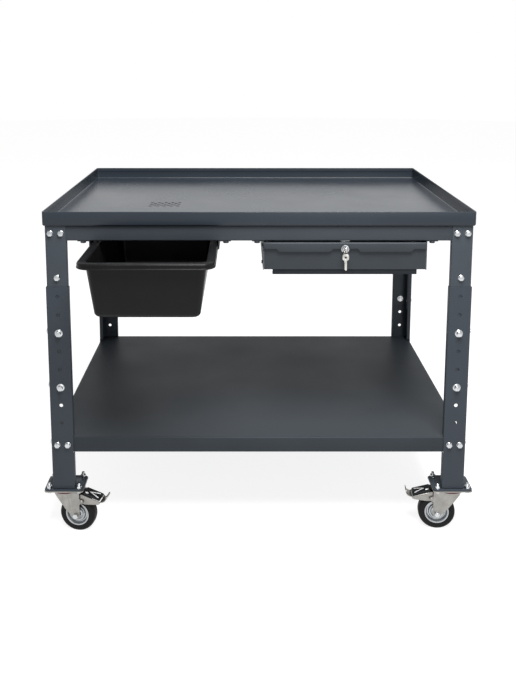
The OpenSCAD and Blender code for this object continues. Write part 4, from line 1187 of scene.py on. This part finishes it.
@dataclass
class Caster(CornerUnit):
    """One swivel caster in its own coordinates: swivel axis at the origin, wheel towards +X."""

    yaw: float
    trail: float = 34.0
    axle_z: float = 50.0
    gap: float = 42.0
    sheet: float = 2.5
    hub: float = 11.0
    crown_z: float = 116.5
    fork_back: float = -25.0
    fork_front: float = 45.0
    lever_x: float = 50.0
    lever_z: float = 92.0
    lever_rise: float = 19.2
    lever_fall: float = 0.31
    arm_in: float = 17.6
    tongue: float = 15.0
    tongue_half: float = 16.4
    tongue_sweep: float = 105.0
    tip_round: float = 5.0
    tongue_steps: int = 27
    strips: int = 66
    strip: float = 1.25
    band: float = 6.0
    rivet_steps: int = 24

    def place(self, x: float, y: float, z: float) -> Point3:
        """Turns the caster's own coordinates into bench coordinates.

        Args:
            x: Distance towards the wheel.
            y: Distance across.
            z: Level.

        Returns:
            The point in bench millimetres.
        """
        a = math.radians(self.yaw)
        return (
            self.side.value * LEG_X + x * math.cos(a) - y * math.sin(a),
            self.end.value * FOOT_Y + x * math.sin(a) + y * math.cos(a),
            z,
        )

    def wheel_place(self, u: float, v: float, h: float) -> Point3:
        """Turns coordinates about the axle into bench coordinates."""
        return self.place(self.trail + u, h, self.axle_z + v)

    def side_place(self, u: float, v: float, y: float) -> Point3:
        """Turns a side view's coordinates and a distance across into bench coordinates."""
        return self.place(u, y, v)

    def leg_outline(self) -> list[Point2]:
        """Draws the fork leg in x and z, with an ear for the lever on a front caster.

        Returns:
            The leg's closed outline.
        """
        points = [
            (self.fork_back, self.crown_z), (self.fork_back, 109.0), (-20.0, 101.0), (-8.0, 84.0),
            (8.0, 64.0),
        ]
        points += arc(self.trail, self.axle_z, self.hub, 200, 360, 10)
        if self.end is End.FRONT:
            points += [(self.fork_front, 83.4), (48.5, 86.0)]
            points += arc(self.lever_x, self.lever_z, 6, -70, 70, 6)
            points += [(47.0, 98.5), (self.fork_front, 100.5)]
        return points + [(self.fork_front, self.crown_z)]

    def rib(self, x: float, z: float) -> float:
        """Gives the relief of the fork leg's two pressed ribs and its front edge.

        Args:
            x: Distance towards the wheel.
            z: Level.

        Returns:
            How far the leg stands out there.
        """
        lean = (x - self.trail) + (z - self.axle_z) * 0.16
        # The ribs rise out of the leg above the axle and sink back into it under the crown
        up = max(0.0, min(1.0, (z - 58) / 14)) * max(0.0, min(1.0, (113 - z) / 8))
        # Two ribs with flat tops, and a raised front edge
        ridge = math.exp(-((lean + 10.0) / 2.6) ** 4) + 0.9 * math.exp(-((lean + 25.0) / 4.4) ** 4)
        edge = 0.9 * math.exp(-((x - 43.5) / 1.8) ** 2)
        return 1.9 * up * ridge + edge * up

    def fork_leg(self, sign: int) -> bpy.types.Object:
        """Presses one leg of the fork.

        Args:
            sign: The side of the wheel that it is on.

        Returns:
            The leg, with its thickness.
        """
        bm = bmesh.new()
        bm.faces.new([bm.verts.new((x, 0, z)) for x, z in self.leg_outline()])
        # Narrow strips and wider bands, so that the ribs can stand out of the flat leg
        first = self.fork_back + 0.5
        cuts = [((first + self.strip * k, 0, 0), (1, 0, 0)) for k in range(self.strips)]
        cuts += [((0, 0, 40 + self.band * k), (0, 0, 1)) for k in range(1, 14)]
        for spot, normal in cuts:
            geometry = bm.verts[:] + bm.edges[:] + bm.faces[:]
            bmesh.ops.bisect_plane(bm, geom=geometry, plane_co=spot, plane_no=normal)
        for v in bm.verts:
            x, z = v.co.x, v.co.z
            v.co = Vector(self.place(x, sign * (self.gap / 2 + self.sheet + self.rib(x, z)), z))
        outwards = Vector(self.place(0, sign, 0)) - Vector(self.place(0, 0, 0))
        for f in bm.faces:
            f.normal_update()
            if f.normal.dot(outwards) < 0:
                f.normal_flip()
        for v in bm.verts:
            v.co = at(*v.co)
        return walled(linked("fork_leg", baked(bm, "fork_leg")), self.sheet, -1)

    def fork(self) -> None:
        """Builds the pressed fork: a dished crown and two ribbed legs."""
        legs = [self.fork_leg(sign) for sign in (-1, 1)]
        crown = filleted(
            [(6.1, 118.0), (29.0, 118.0), (34.5, 117.0), (35.0, 112.0), (32.5, 112.0), (32.0, 115.0),
             (6.1, 115.5)], 1.6, closed=True, steps=3,
        )
        bridge = [(-23.0, 115.6), (44.0, 115.6), (44.0, 117.7), (-23.0, 117.7)]
        shape = Shape().revolve(crown, self.place, 64).prism(bridge, self.side_place, -23.0, 23.0)
        body = shape.piece(f"fork_{self.corner}_piece")
        bpy.ops.object.select_all(action="DESELECT")
        for one in legs + [body]:
            one.select_set(True)
        bpy.context.view_layer.objects.active = body
        bpy.ops.object.join()
        if self.end is End.FRONT:
            self.rivets(body)
        dressed(
            eased(body, 0.35, steps=2, angle=50), PRESSED_ZINC, Slot.CASTER, f"caster_{self.corner}",
            f"fork_{self.corner}",
        )

    def rivets(self, body: bpy.types.Object) -> None:
        """Joins the lever's two domed rivets to the fork.

        Args:
            body: The fork.
        """
        out = self.gap / 2 + self.sheet
        low = self.arm_in + 0.2
        profile = [(0.01, out + 2.4), (2.4, out + 2.1), (4.2, out + 1.2), (5.0, out), (3.0, out), (3.0, low),
                   (0.01, low)]
        bm = bmesh.new()
        bm.from_mesh(body.data)
        for sign in (-1, 1):
            rings = []
            for a in (math.tau * i / self.rivet_steps for i in range(self.rivet_steps)):
                rings.append([
                    bm.verts.new(at(*self.place(
                        self.lever_x + r * math.cos(a), sign * h, self.lever_z + r * math.sin(a)
                    )))
                    for r, h in profile
                ])
            for a, b in zip(rings, rings[1:] + rings[:1]):
                for i in range(len(profile)):
                    j = (i + 1) % len(profile)
                    quad = (a[i], a[j], b[j], b[i])
                    bm.faces.new(quad if sign > 0 else quad[::-1])
        bm.to_mesh(body.data)
        bm.free()

    def turned(self, kind: str, half: Sequence[Point2], radius: float, steps: int, count: int, finish: Finish,
               slot: Slot) -> None:
        """Turns half a profile and its mirror image round the axle.

        Args:
            kind: The CAD node's name without the corner.
            half: The half profile of (radius, distance from the wheel's middle) points.
            radius: Radius that rounds its corners.
            steps: Straight pieces per corner.
            count: Steps round the axle.
            finish: The piece's finish.
            slot: The record's slot of its finish.
        """
        upper = filleted(half, radius, steps=steps)
        lower = [(r, -h) for r, h in upper[::-1]]
        piece = Shape().revolve(upper + lower, self.wheel_place, count).piece(f"{kind}_{self.corner}_piece")
        dressed(piece, finish, slot, f"wheel_{self.corner}", f"{kind}_{self.corner}")

    def wheel(self) -> None:
        """Turns the pressed rim with its stepped discs and the tyre with a moulded line."""
        rim = [(4.2, 18.4), (8.6, 18.4), (9.6, 10.6), (14.0, 8.0), (16.4, 11.6), (20.2, 12.0), (22.2, 5.8),
               (26.0, 5.4), (28.0, 11.6), (29.2, 14.2), (32.8, 14.4), (33.0, 13.2), (30.8, 12.4)]
        tyre = [(30.8, 12.2), (33.8, 12.6), (34.8, 14.0), (39.6, 14.8), (40.2, 14.3), (41.2, 14.3),
                (41.8, 14.8), (44.6, 14.4), (47.4, 12.8), (49.2, 10.2), (49.9, 6.8), (50.0, 3.0)]
        self.turned("rim", rim, 1.3, 3, 96, RIM_ZINC, Slot.RIM)
        self.turned("tyre", tyre, 0.9, 2, 112, TYRE_RUBBER, Slot.TYRE)

    def top(self, u: float, above: float = 0.0) -> Point2:
        """Returns a point above the lever's sloping top at a distance from its pivot."""
        return (self.lever_x + u, self.lever_z + self.lever_rise - self.lever_fall * u + above)

    def tongue_rings(self, x: float, z: float) -> list[list[Point3]]:
        """Draws the curled tongue's sections, narrower towards its rounded tip.

        Args:
            x: The curl's middle towards the wheel.
            z: The curl's middle level.

        Returns:
            The rings of the tongue.
        """
        last = self.tongue_steps
        rings = []
        for k in range(last + 1):
            a = math.radians(-100 + self.tongue_sweep * k / last)
            left = min(self.tip_round, self.tongue * math.radians(self.tongue_sweep * (last - k) / last))
            bow = math.sqrt(max(0.0, self.tip_round ** 2 - (self.tip_round - left) ** 2))
            half = self.tongue_half - self.tip_round + bow
            inner, outer = self.tongue - 1, self.tongue + 1
            rings.append([
                self.place(x + r * math.cos(a), w, z + r * math.sin(a))
                for r, w in ((outer, -half), (outer, half), (inner, half), (inner, -half))
            ])
        return rings

    def lever(self) -> None:
        """Builds the brake lever: two arms, their bridge, the shoe and the curled tongue."""
        x, z = self.lever_x, self.lever_z
        name = self.side.name.lower()
        shape = Shape()
        arm = filleted(
            [(x - 7, z - 6), (x - 7, z + 6), self.top(-3), self.top(51), (x + 54, z - 1), (x + 47, z - 5),
             (x + 36, z - 6), (x + 10, z - 8)], 3.0, closed=True, steps=3,
        )
        for sign in (-1, 1):
            shape.prism(arm, lambda u, v, y: self.place(u, sign * y, v), self.arm_in, self.arm_in + 2.0)
        # A round bead along the top of each arm
        for sign in (-1, 1):
            shape.rings([
                [self.place(end[0], y, level) for y, level in
                 ellipse(sign * (self.arm_in + 1.9), end[1], 1.6, 1.6, 12)]
                for end in (self.top(9.0, -1.0), self.top(50.0, -1.0))
            ])
        bridge = [self.top(3, -0.2), self.top(51, -0.2), self.top(51, -2.0), self.top(3, -2.0)]
        shoe = filleted(
            [self.top(16, -1), (x + 16, z + 5), (x + 18, z + 3.5), (x + 26, z - 3.5), (x + 29, z - 3),
             self.top(32, -1)], 1.2, closed=True, steps=2,
        )
        for outline in (bridge, shoe):
            shape.prism(outline, self.side_place, -self.arm_in, self.arm_in)
        curl_x, curl_z = x + 54.0, z + 16.0
        shape.rings(self.tongue_rings(curl_x, curl_z))
        piece = shape.piece(f"brake_lever_{name}_piece")
        # The small hole lies half a radian below the curl's level, and is drilled square to the tongue
        below = -0.5
        hole = self.place(curl_x + self.tongue * math.cos(below), 10, curl_z + self.tongue * math.sin(below))
        HOLES.apply(
            piece, Diameter=0.004, Start=at(*hole), Material=PRESSED_ZINC.material(),
            Axis=tuple(Vector(self.place(1, 0, -0.55)) - Vector(self.place(0, 0, 0))),
        )
        piece = eased(piece, 0.4, steps=2, angle=50)
        dressed(piece, PRESSED_ZINC, Slot.CASTER, f"brake_{name}", f"brake_lever_{name}")

    def pedal(self) -> None:
        """Builds the moulded pedal cover with its pale grip ribs and stud."""
        name = self.side.name.lower()
        section = filleted(
            [self.top(3, 0.1), self.top(3, 3.5), self.top(6, 5), self.top(49, 5), self.top(50.5, 3.5),
             self.top(50.5, 0.1)], 1.2, closed=True, steps=3,
        )
        piece = Shape().prism(section, self.side_place, -16.8, 16.8).piece(f"pedal_cover_{name}_piece")
        piece = eased(piece, 0.8, steps=3, angle=40)
        dressed(piece, PEDAL_PLASTIC, Slot.PEDAL, f"brake_{name}", f"pedal_cover_{name}")
        near = self.side.value * 9.0
        marks = [
            ([(17.0, 0.0), (22.5, 0.0), (46.0, sign * 9.0), (43.5, sign * 12.6)], 5.5)
            for sign in (-1, 1)
        ]
        marks.append((ellipse(12, near, 4.2, 3.4, 20), 5.9))
        shape = Shape()
        for outline, high in marks:
            shape.rings([
                [self.side_place(*self.top(u, level), y) for u, y in outline] for level in (4.6, high)
            ])
        piece = shape.piece(f"pedal_ribs_{name}")
        dressed(eased(piece, 0.3, steps=2, angle=40), PEDAL_MARK, Slot.PEDAL, f"brake_{name}")

    def build(self) -> None:
        """Builds the whole caster."""
        self.fork()
        self.wheel()
        dressed_copy(f"axle_{self.corner}", 0.3, BOLT_ZINC, Slot.BOLT, f"caster_{self.corner}")
        if self.end is End.FRONT:
            self.lever()
            self.pedal()


@dataclass
class Tub:
    """The moulded tub, drawn from the middle of its floor out over the rim and back in."""

    width: float = 332.0
    length: float = 551.0
    height: float = 145.0
    rim: float = 19.0
    rim_h: float = 15.0
    rim_wall: float = 3.2
    neck: float = 24.0
    taper: float = 20.0
    wall: float = 3.0
    round: float = 15.0
    corner: float = 34.0
    tighten: float = 0.6
    least_corner: float = 12.0
    steps_z: tuple[float, float] = (45.0, 85.0)

    def inset(self, z: float) -> float:
        """Returns the outer wall's inset from the rim's edge at a level."""
        return self.rim + (TUB_TOP - z) * self.taper / self.height

    def build(self) -> None:
        """Builds the tub and dresses its rails."""
        floor, top = TUB_TOP - self.height, TUB_TOP
        neck, under, low = top - self.neck, top - self.rim_wall, top - self.rim_h
        rim = filleted(
            [(self.inset(neck), neck), (self.inset(top - 3), under), (4.0, under), (3.6, low), (0.0, low),
             (0.0, low + 2.2), (1.3, low + 3.2), (1.3, top), (self.rim + 3.6, top),
             (self.inset(neck) + self.wall, neck)],
            (0.0, 3.0, 5.0, 0.8, 0.9, 0.9, 0.8, 9.0, 8.0, 0.0), steps=8,
        )
        outer_r, inner_r = self.round, self.round + 4.0
        outline = arc(self.inset(floor + outer_r) + outer_r, floor + outer_r, -outer_r, 90, 0, 6)
        levels = [floor + rise for rise in self.steps_z]
        outline += [(self.inset(z), z) for z in levels] + rim
        outline += [(self.inset(z) + self.wall, z) for z in levels[::-1]]
        inside = self.inset(floor + self.wall + inner_r) + self.wall
        outline += arc(inside + inner_r, floor + self.wall + inner_r, -inner_r, 0, 90, 6)
        shape = Shape().inset_rings(
            outline, self.width, self.length,
            lambda inset: max(self.corner - inset * self.tighten, self.least_corner),
            (TUB_X, TUB_MID_Y), steps=8,
        )
        dressed(shape.piece("tub_piece"), TUB_PLASTIC, Slot.TUB, "tub_body", "tub")
        for name in ("tub_rail_left", "tub_rail_right"):
            dressed_copy(name, 0.4, BEAM_COAT, Slot.BEAM, "frame")


@dataclass
class Drawer:
    """The drawer: front panel with its stepped grip lip, box, braces, hangers and slides."""

    width: float = 421.0
    height: float = 73.0
    grip: float = 8.0
    sheet: float = 1.5
    low: float = 24.0
    high: float = 16.0
    lock_r: float = 12.0
    lock_drop: float = 17.8
    step_in: float = 32.0
    step_out: float = 40.0

    def lip(self, x: float) -> float:
        """Gives the grip lip's lower edge at a place along it.

        Args:
            x: Distance from the panel's middle.

        Returns:
            How far the edge is below the panel's top.
        """
        half = self.width / 2
        if abs(x) < self.lock_r:
            return self.lock_drop - math.sqrt(self.lock_r ** 2 - x * x)
        # The edge steps down to the two deeper stretches of the lip
        steps = [(self.lock_r, self.high), (self.step_in, self.high), (self.step_out, self.low),
                 (half - self.step_out, self.low), (half - self.step_in, self.high), (half, self.high)]
        for (a, za), (b, zb) in zip(steps, steps[1:]):
            if a <= abs(x) <= b:
                return za + (zb - za) * (abs(x) - a) / (b - a)
        return self.high

    def front(self) -> None:
        """Folds the front panel as one sheet."""
        half = self.width / 2
        xs = [0.0] + [self.lock_r * math.sin(math.radians(a)) for a in range(10, 90, 10)]
        xs += [self.lock_r - 0.01, self.lock_r + 0.01, self.step_in, self.step_out]
        xs += [half - self.step_out, half - self.step_in, half - 0.01]
        mid, edge = self.sheet / 2, 5.0
        section = filleted(
            [(mid, 0.3 - self.height), (mid, -mid), (mid - self.grip, -mid), (mid - self.grip, -edge)], 2.2
        )
        grid = []
        for x in sorted({-x for x in xs} | set(xs)):
            column = [(DRAWER_X + x, PANEL_Y + y, PANEL_TOP + z) for y, z in section]
            column.append((DRAWER_X + x, PANEL_Y + section[-1][0], PANEL_TOP - max(self.lip(x), edge + 0.2)))
            grid.append(column)
        piece = walled(Shape().sheet(grid).piece("drawer_front_piece", closed=False), self.sheet, 0)
        dressed(eased(piece, 0.35, steps=2, angle=50), DRAWER_COAT, Slot.DRAWER, "drawer", "drawer_front")

    def build(self) -> None:
        """Builds the drawer and dresses what carries it."""
        self.front()
        dressed_copy("drawer_box", 0.4, DRAWER_COAT, Slot.DRAWER, "drawer")
        # The braces wear the darker coat of painted shade
        dressed_copy("drawer_braces", 0.4, BRACE_PAINTED_SHADE_COAT, Slot.DRAWER, "drawer")
        for side in ("left", "right"):
            dressed_copy(f"drawer_hanger_{side}", 0.4, BEAM_COAT, Slot.BEAM, "frame")
        for name, body in (("outer", "frame"), ("middle", "slide_members"), ("inner", "drawer")):
            dressed_copy(f"slides_{name}", 0.25, SLIDE_ZINC, Slot.SLIDE, body)


@dataclass
class LockAndKeys:
    """The cam lock in the drawer's front, its key, the ring and the spare key."""

    head: float = 18.0
    hole: float = 6.0
    thick: float = 2.0
    bow: float = 0.25
    ring_d: float = 16.0
    wire: float = 1.4
    play: float = 0.6
    blade: float = 16.0
    spare_blade: float = 26.0

    def key_outline(self, blade: float) -> list[Point2]:
        """Draws a key: a head with a shoulder, and a toothed blade along +X.

        Args:
            blade: Length of the blade past the head's edge.

        Returns:
            The key's outline about the head's middle.
        """
        r, back = self.head / 2, 3.4
        upper = [(r, back), (r - 1.6, 5.6), (r - 4.0, r - 0.6), (3.6 - r, r - 0.6), (0.5 - r, r - 3.8)]
        outline = filleted(upper + [(x, -y) for x, y in upper[::-1]], 1.6, steps=3)
        outline += [(r + 2.5, -back), (r + 5, -back)]
        cuts = [2.0, 0.9, 1.8, 0.6, 1.5, 1.0]
        pitch = (blade - 9) / len(cuts)
        for k, depth in enumerate(cuts):
            x = r + 5.5 + pitch * k
            outline += [(x, depth - back), (x + pitch * 0.5, depth * 0.3 - back)]
        reach = r + blade
        return outline + [(reach - 2.0, -1.6), (reach, 0.4), (reach - 1.5, back)]

    def key_piece(self, name: str, blade: float, place: Matrix) -> bpy.types.Object:
        """Cuts a key with softened edges and puts it in its place.

        Args:
            name: The piece's name.
            blade: Length of the blade past the head's edge.
            place: The key's place in metres.

        Returns:
            The new piece.
        """
        curve = bpy.data.curves.new(name, "CURVE")
        curve.dimensions = "2D"
        curve.fill_mode = "BOTH"
        curve.extrude = (self.thick / 2 - self.bow) / 1000
        curve.bevel_depth = self.bow / 1000
        curve.bevel_resolution = 1
        curve.offset = -self.bow / 1000
        for points in (self.key_outline(blade), ellipse(0.0, 0.0, self.hole / 2, self.hole / 2, 24)):
            spline = curve.splines.new("POLY")
            spline.points.add(len(points) - 1)
            for p, (x, y) in zip(spline.points, points):
                p.co = (x / 1000, y / 1000, 0.0, 1.0)
            spline.use_cyclic_u = True
        holder = linked(name, curve)
        mesh = evaluated_mesh(holder)
        bpy.data.objects.remove(holder)
        mesh.transform(place)
        bm = bmesh.new()
        bm.from_mesh(mesh)
        bmesh.ops.remove_doubles(bm, verts=bm.verts, dist=WELD_METRES)
        bmesh.ops.recalc_face_normals(bm, faces=bm.faces)
        bm.to_mesh(mesh)
        bm.free()
        return linked(name, mesh)

    def build(self) -> None:
        """Builds the lock and the keys."""
        dressed_copy("lock_barrel", 0.5, LOCK_CHROME, Slot.LOCK, "drawer")
        dressed_copy("lock_plug", 0.3, LOCK_CHROME, Slot.LOCK, "lock")
        dressed_copy("lock_cam", 0.3, SLIDE_ZINC, Slot.SLIDE, "lock")
        dressed_copy("lock_keeper", 0.3, SLIDE_ZINC, Slot.SLIDE, "frame")
        quarter = math.pi / 2
        upright = Matrix.Rotation(quarter, 4, "X")
        inwards = Matrix.Translation(at(DRAWER_X, KEY_Y, LOCK_Z)) @ Matrix.Rotation(quarter, 4, "Z") @ upright
        dressed(self.key_piece("key_in_lock", self.blade, inwards), KEY_NICKEL, Slot.KEY, "lock", "key")
        inner = (self.ring_d - self.wire) / 2
        ring_z = LOCK_Z - self.hole / 2 + self.play - inner
        spare_z = ring_z - inner + self.play - self.hole / 2
        down = Matrix.Translation(at(DRAWER_X, KEY_Y, spare_z)) @ upright @ Matrix.Rotation(-quarter, 4, "Z")
        spare = self.key_piece("spare_key_piece", self.spare_blade, down)
        dressed(spare, KEY_NICKEL, Slot.KEY, "hanging_key", "spare_key")
        wire = ellipse(self.ring_d / 2, 0.0, self.wire / 2, self.wire / 2, 12)
        # The ring hangs at 45 degrees to the panel
        c = math.sqrt(0.5)
        ring = Shape().revolve(
            wire, lambda u, v, h: (DRAWER_X + (u - h) * c, KEY_Y + (u + h) * c, ring_z + v), 48
        )
        dressed(ring.piece("key_ring_piece"), KEY_NICKEL, Slot.KEY, "hanging_key", "key_ring")


@dataclass
class Studio:
    """The pale floor, the light and the camera."""

    lens: float = 42.505
    sensor: float = 36.0
    shift_x: float = 0.01998
    shift_y: float = -0.245
    eye: Point3 = (-38.2, -2446.3, 1301.5)
    pitch: float = 8.639
    room_light: float = 0.32
    floor_glow: float = 0.84
    floor_colour: str = "#B0B0B0"
    floor_r: float = 14.0

    def camera(self) -> None:
        """Sets the camera at the photograph's viewing angle."""
        data = bpy.data.cameras.new("camera")
        data.lens = self.lens
        data.sensor_width = self.sensor
        data.sensor_fit = "AUTO"
        data.shift_x = self.shift_x
        data.shift_y = self.shift_y
        data.clip_start, data.clip_end = 0.05, 60.0
        camera = linked("camera", data)
        camera.location = at(*self.eye)
        camera.rotation_euler = (math.radians(90 - self.pitch), 0.0, 0.0)
        bpy.context.scene.camera = camera

    def seen(self, tree: bpy.types.NodeTree) -> bpy.types.NodeSocket:
        """Makes a value that tells a look from light.

        Args:
            tree: The tree that it goes into.

        Returns:
            1 where something is looked at, straight, in gloss or through glass, and else 0.
        """
        path = add(tree, "ShaderNodeLightPath").outputs
        value = path["Is Camera Ray"]
        for name in ("Is Glossy Ray", "Is Transmission Ray"):
            value = add(tree, "ShaderNodeMath", {"operation": "MAXIMUM"}, i0=value, i1=path[name]).outputs[0]
        return value

    def world(self) -> None:
        """Lights the scene softly from all round, and shows white to the camera and in gloss."""
        world = bpy.data.worlds.new("soft_studio")
        world.use_nodes = True
        tree = world.node_tree
        tree.nodes.clear()
        strength = add(
            tree, "ShaderNodeMix", {"data_type": "FLOAT"}, i0=self.seen(tree), i2=self.room_light, i3=1.0
        )
        light = add(tree, "ShaderNodeBackground", Color=(1.0, 1.0, 1.0, 1.0), Strength=strength.outputs[0])
        add(tree, "ShaderNodeOutputWorld", Surface=light.outputs[0])
        bpy.context.scene.world = world

    def floor(self) -> None:
        """Lays a matt floor that looks white and keeps the bench's shadow."""
        bm = bmesh.new()
        bmesh.ops.create_circle(bm, cap_ends=True, segments=96, radius=self.floor_r)
        floor = linked("studio_floor", baked(bm, "studio_floor"))
        material = bpy.data.materials.new("white_paper_floor")
        material.use_nodes = True
        tree = material.node_tree
        tree.nodes.clear()
        paper = add(tree, "ShaderNodeBsdfDiffuse", Color=hex_colour(self.floor_colour))
        power = add(tree, "ShaderNodeMath", {"operation": "MULTIPLY"}, i0=self.seen(tree), i1=self.floor_glow)
        glow = add(tree, "ShaderNodeEmission", Color=(1.0, 1.0, 1.0, 1.0), Strength=power.outputs[0])
        both = add(tree, "ShaderNodeAddShader", i0=paper.outputs[0], i1=glow.outputs[0])
        add(tree, "ShaderNodeOutputMaterial", Surface=both.outputs[0])
        floor.data.materials.append(material)

    def lamp(self, name: str, spot: Point3, target: Point3, size: float, power: float) -> None:
        """Hangs a square soft box.

        Args:
            name: The lamp's name.
            spot: Its place in bench millimetres.
            target: The point that it faces.
            size: Its side in metres.
            power: Its power in watts.
        """
        data = bpy.data.lights.new(name, "AREA")
        data.shape = "SQUARE"
        data.size = size
        data.energy = power
        lamp = linked(name, data)
        lamp.location = at(*spot)
        lamp.rotation_euler = (at(*target) - at(*spot)).to_track_quat("-Z", "Y").to_euler()

    def build(self) -> None:
        """Builds the studio."""
        self.camera()
        self.world()
        self.floor()
        self.lamp("top_soft_box", (300.0, -1500.0, 3000.0), (0.0, 0.0, 600.0), 1.5, 150.0)
        self.lamp("front_soft_box", (900.0, -3200.0, 1500.0), (0.0, 0.0, 500.0), 1.6, 14.0)
        bpy.context.scene.view_settings.view_transform = "Standard"


def main() -> None:
    """Builds the bench and its studio."""
    logging.basicConfig(level=logging.INFO, format="%(name)s: %(message)s")
    Studio().build()
    TrayTop().build()
    for end in End:
        for side in Side:
            Leg(side, end).build()
    LowerShelf().build()
    Fasteners().build()
    for side, end, yaw in (
        (Side.LEFT, End.FRONT, -11.0), (Side.RIGHT, End.FRONT, 174.0),
        (Side.LEFT, End.BACK, 8.0), (Side.RIGHT, End.BACK, 174.0),
    ):
        Caster(side, end, yaw).build()
    dressed_copy("caster_plates", 0.4, PRESSED_ZINC, Slot.CASTER, "frame")
    painted_node("caster_seals", SEAL_PLASTIC)
    Tub().build()
    Drawer().build()
    LockAndKeys().build()


if __name__ == "__main__":
    main()
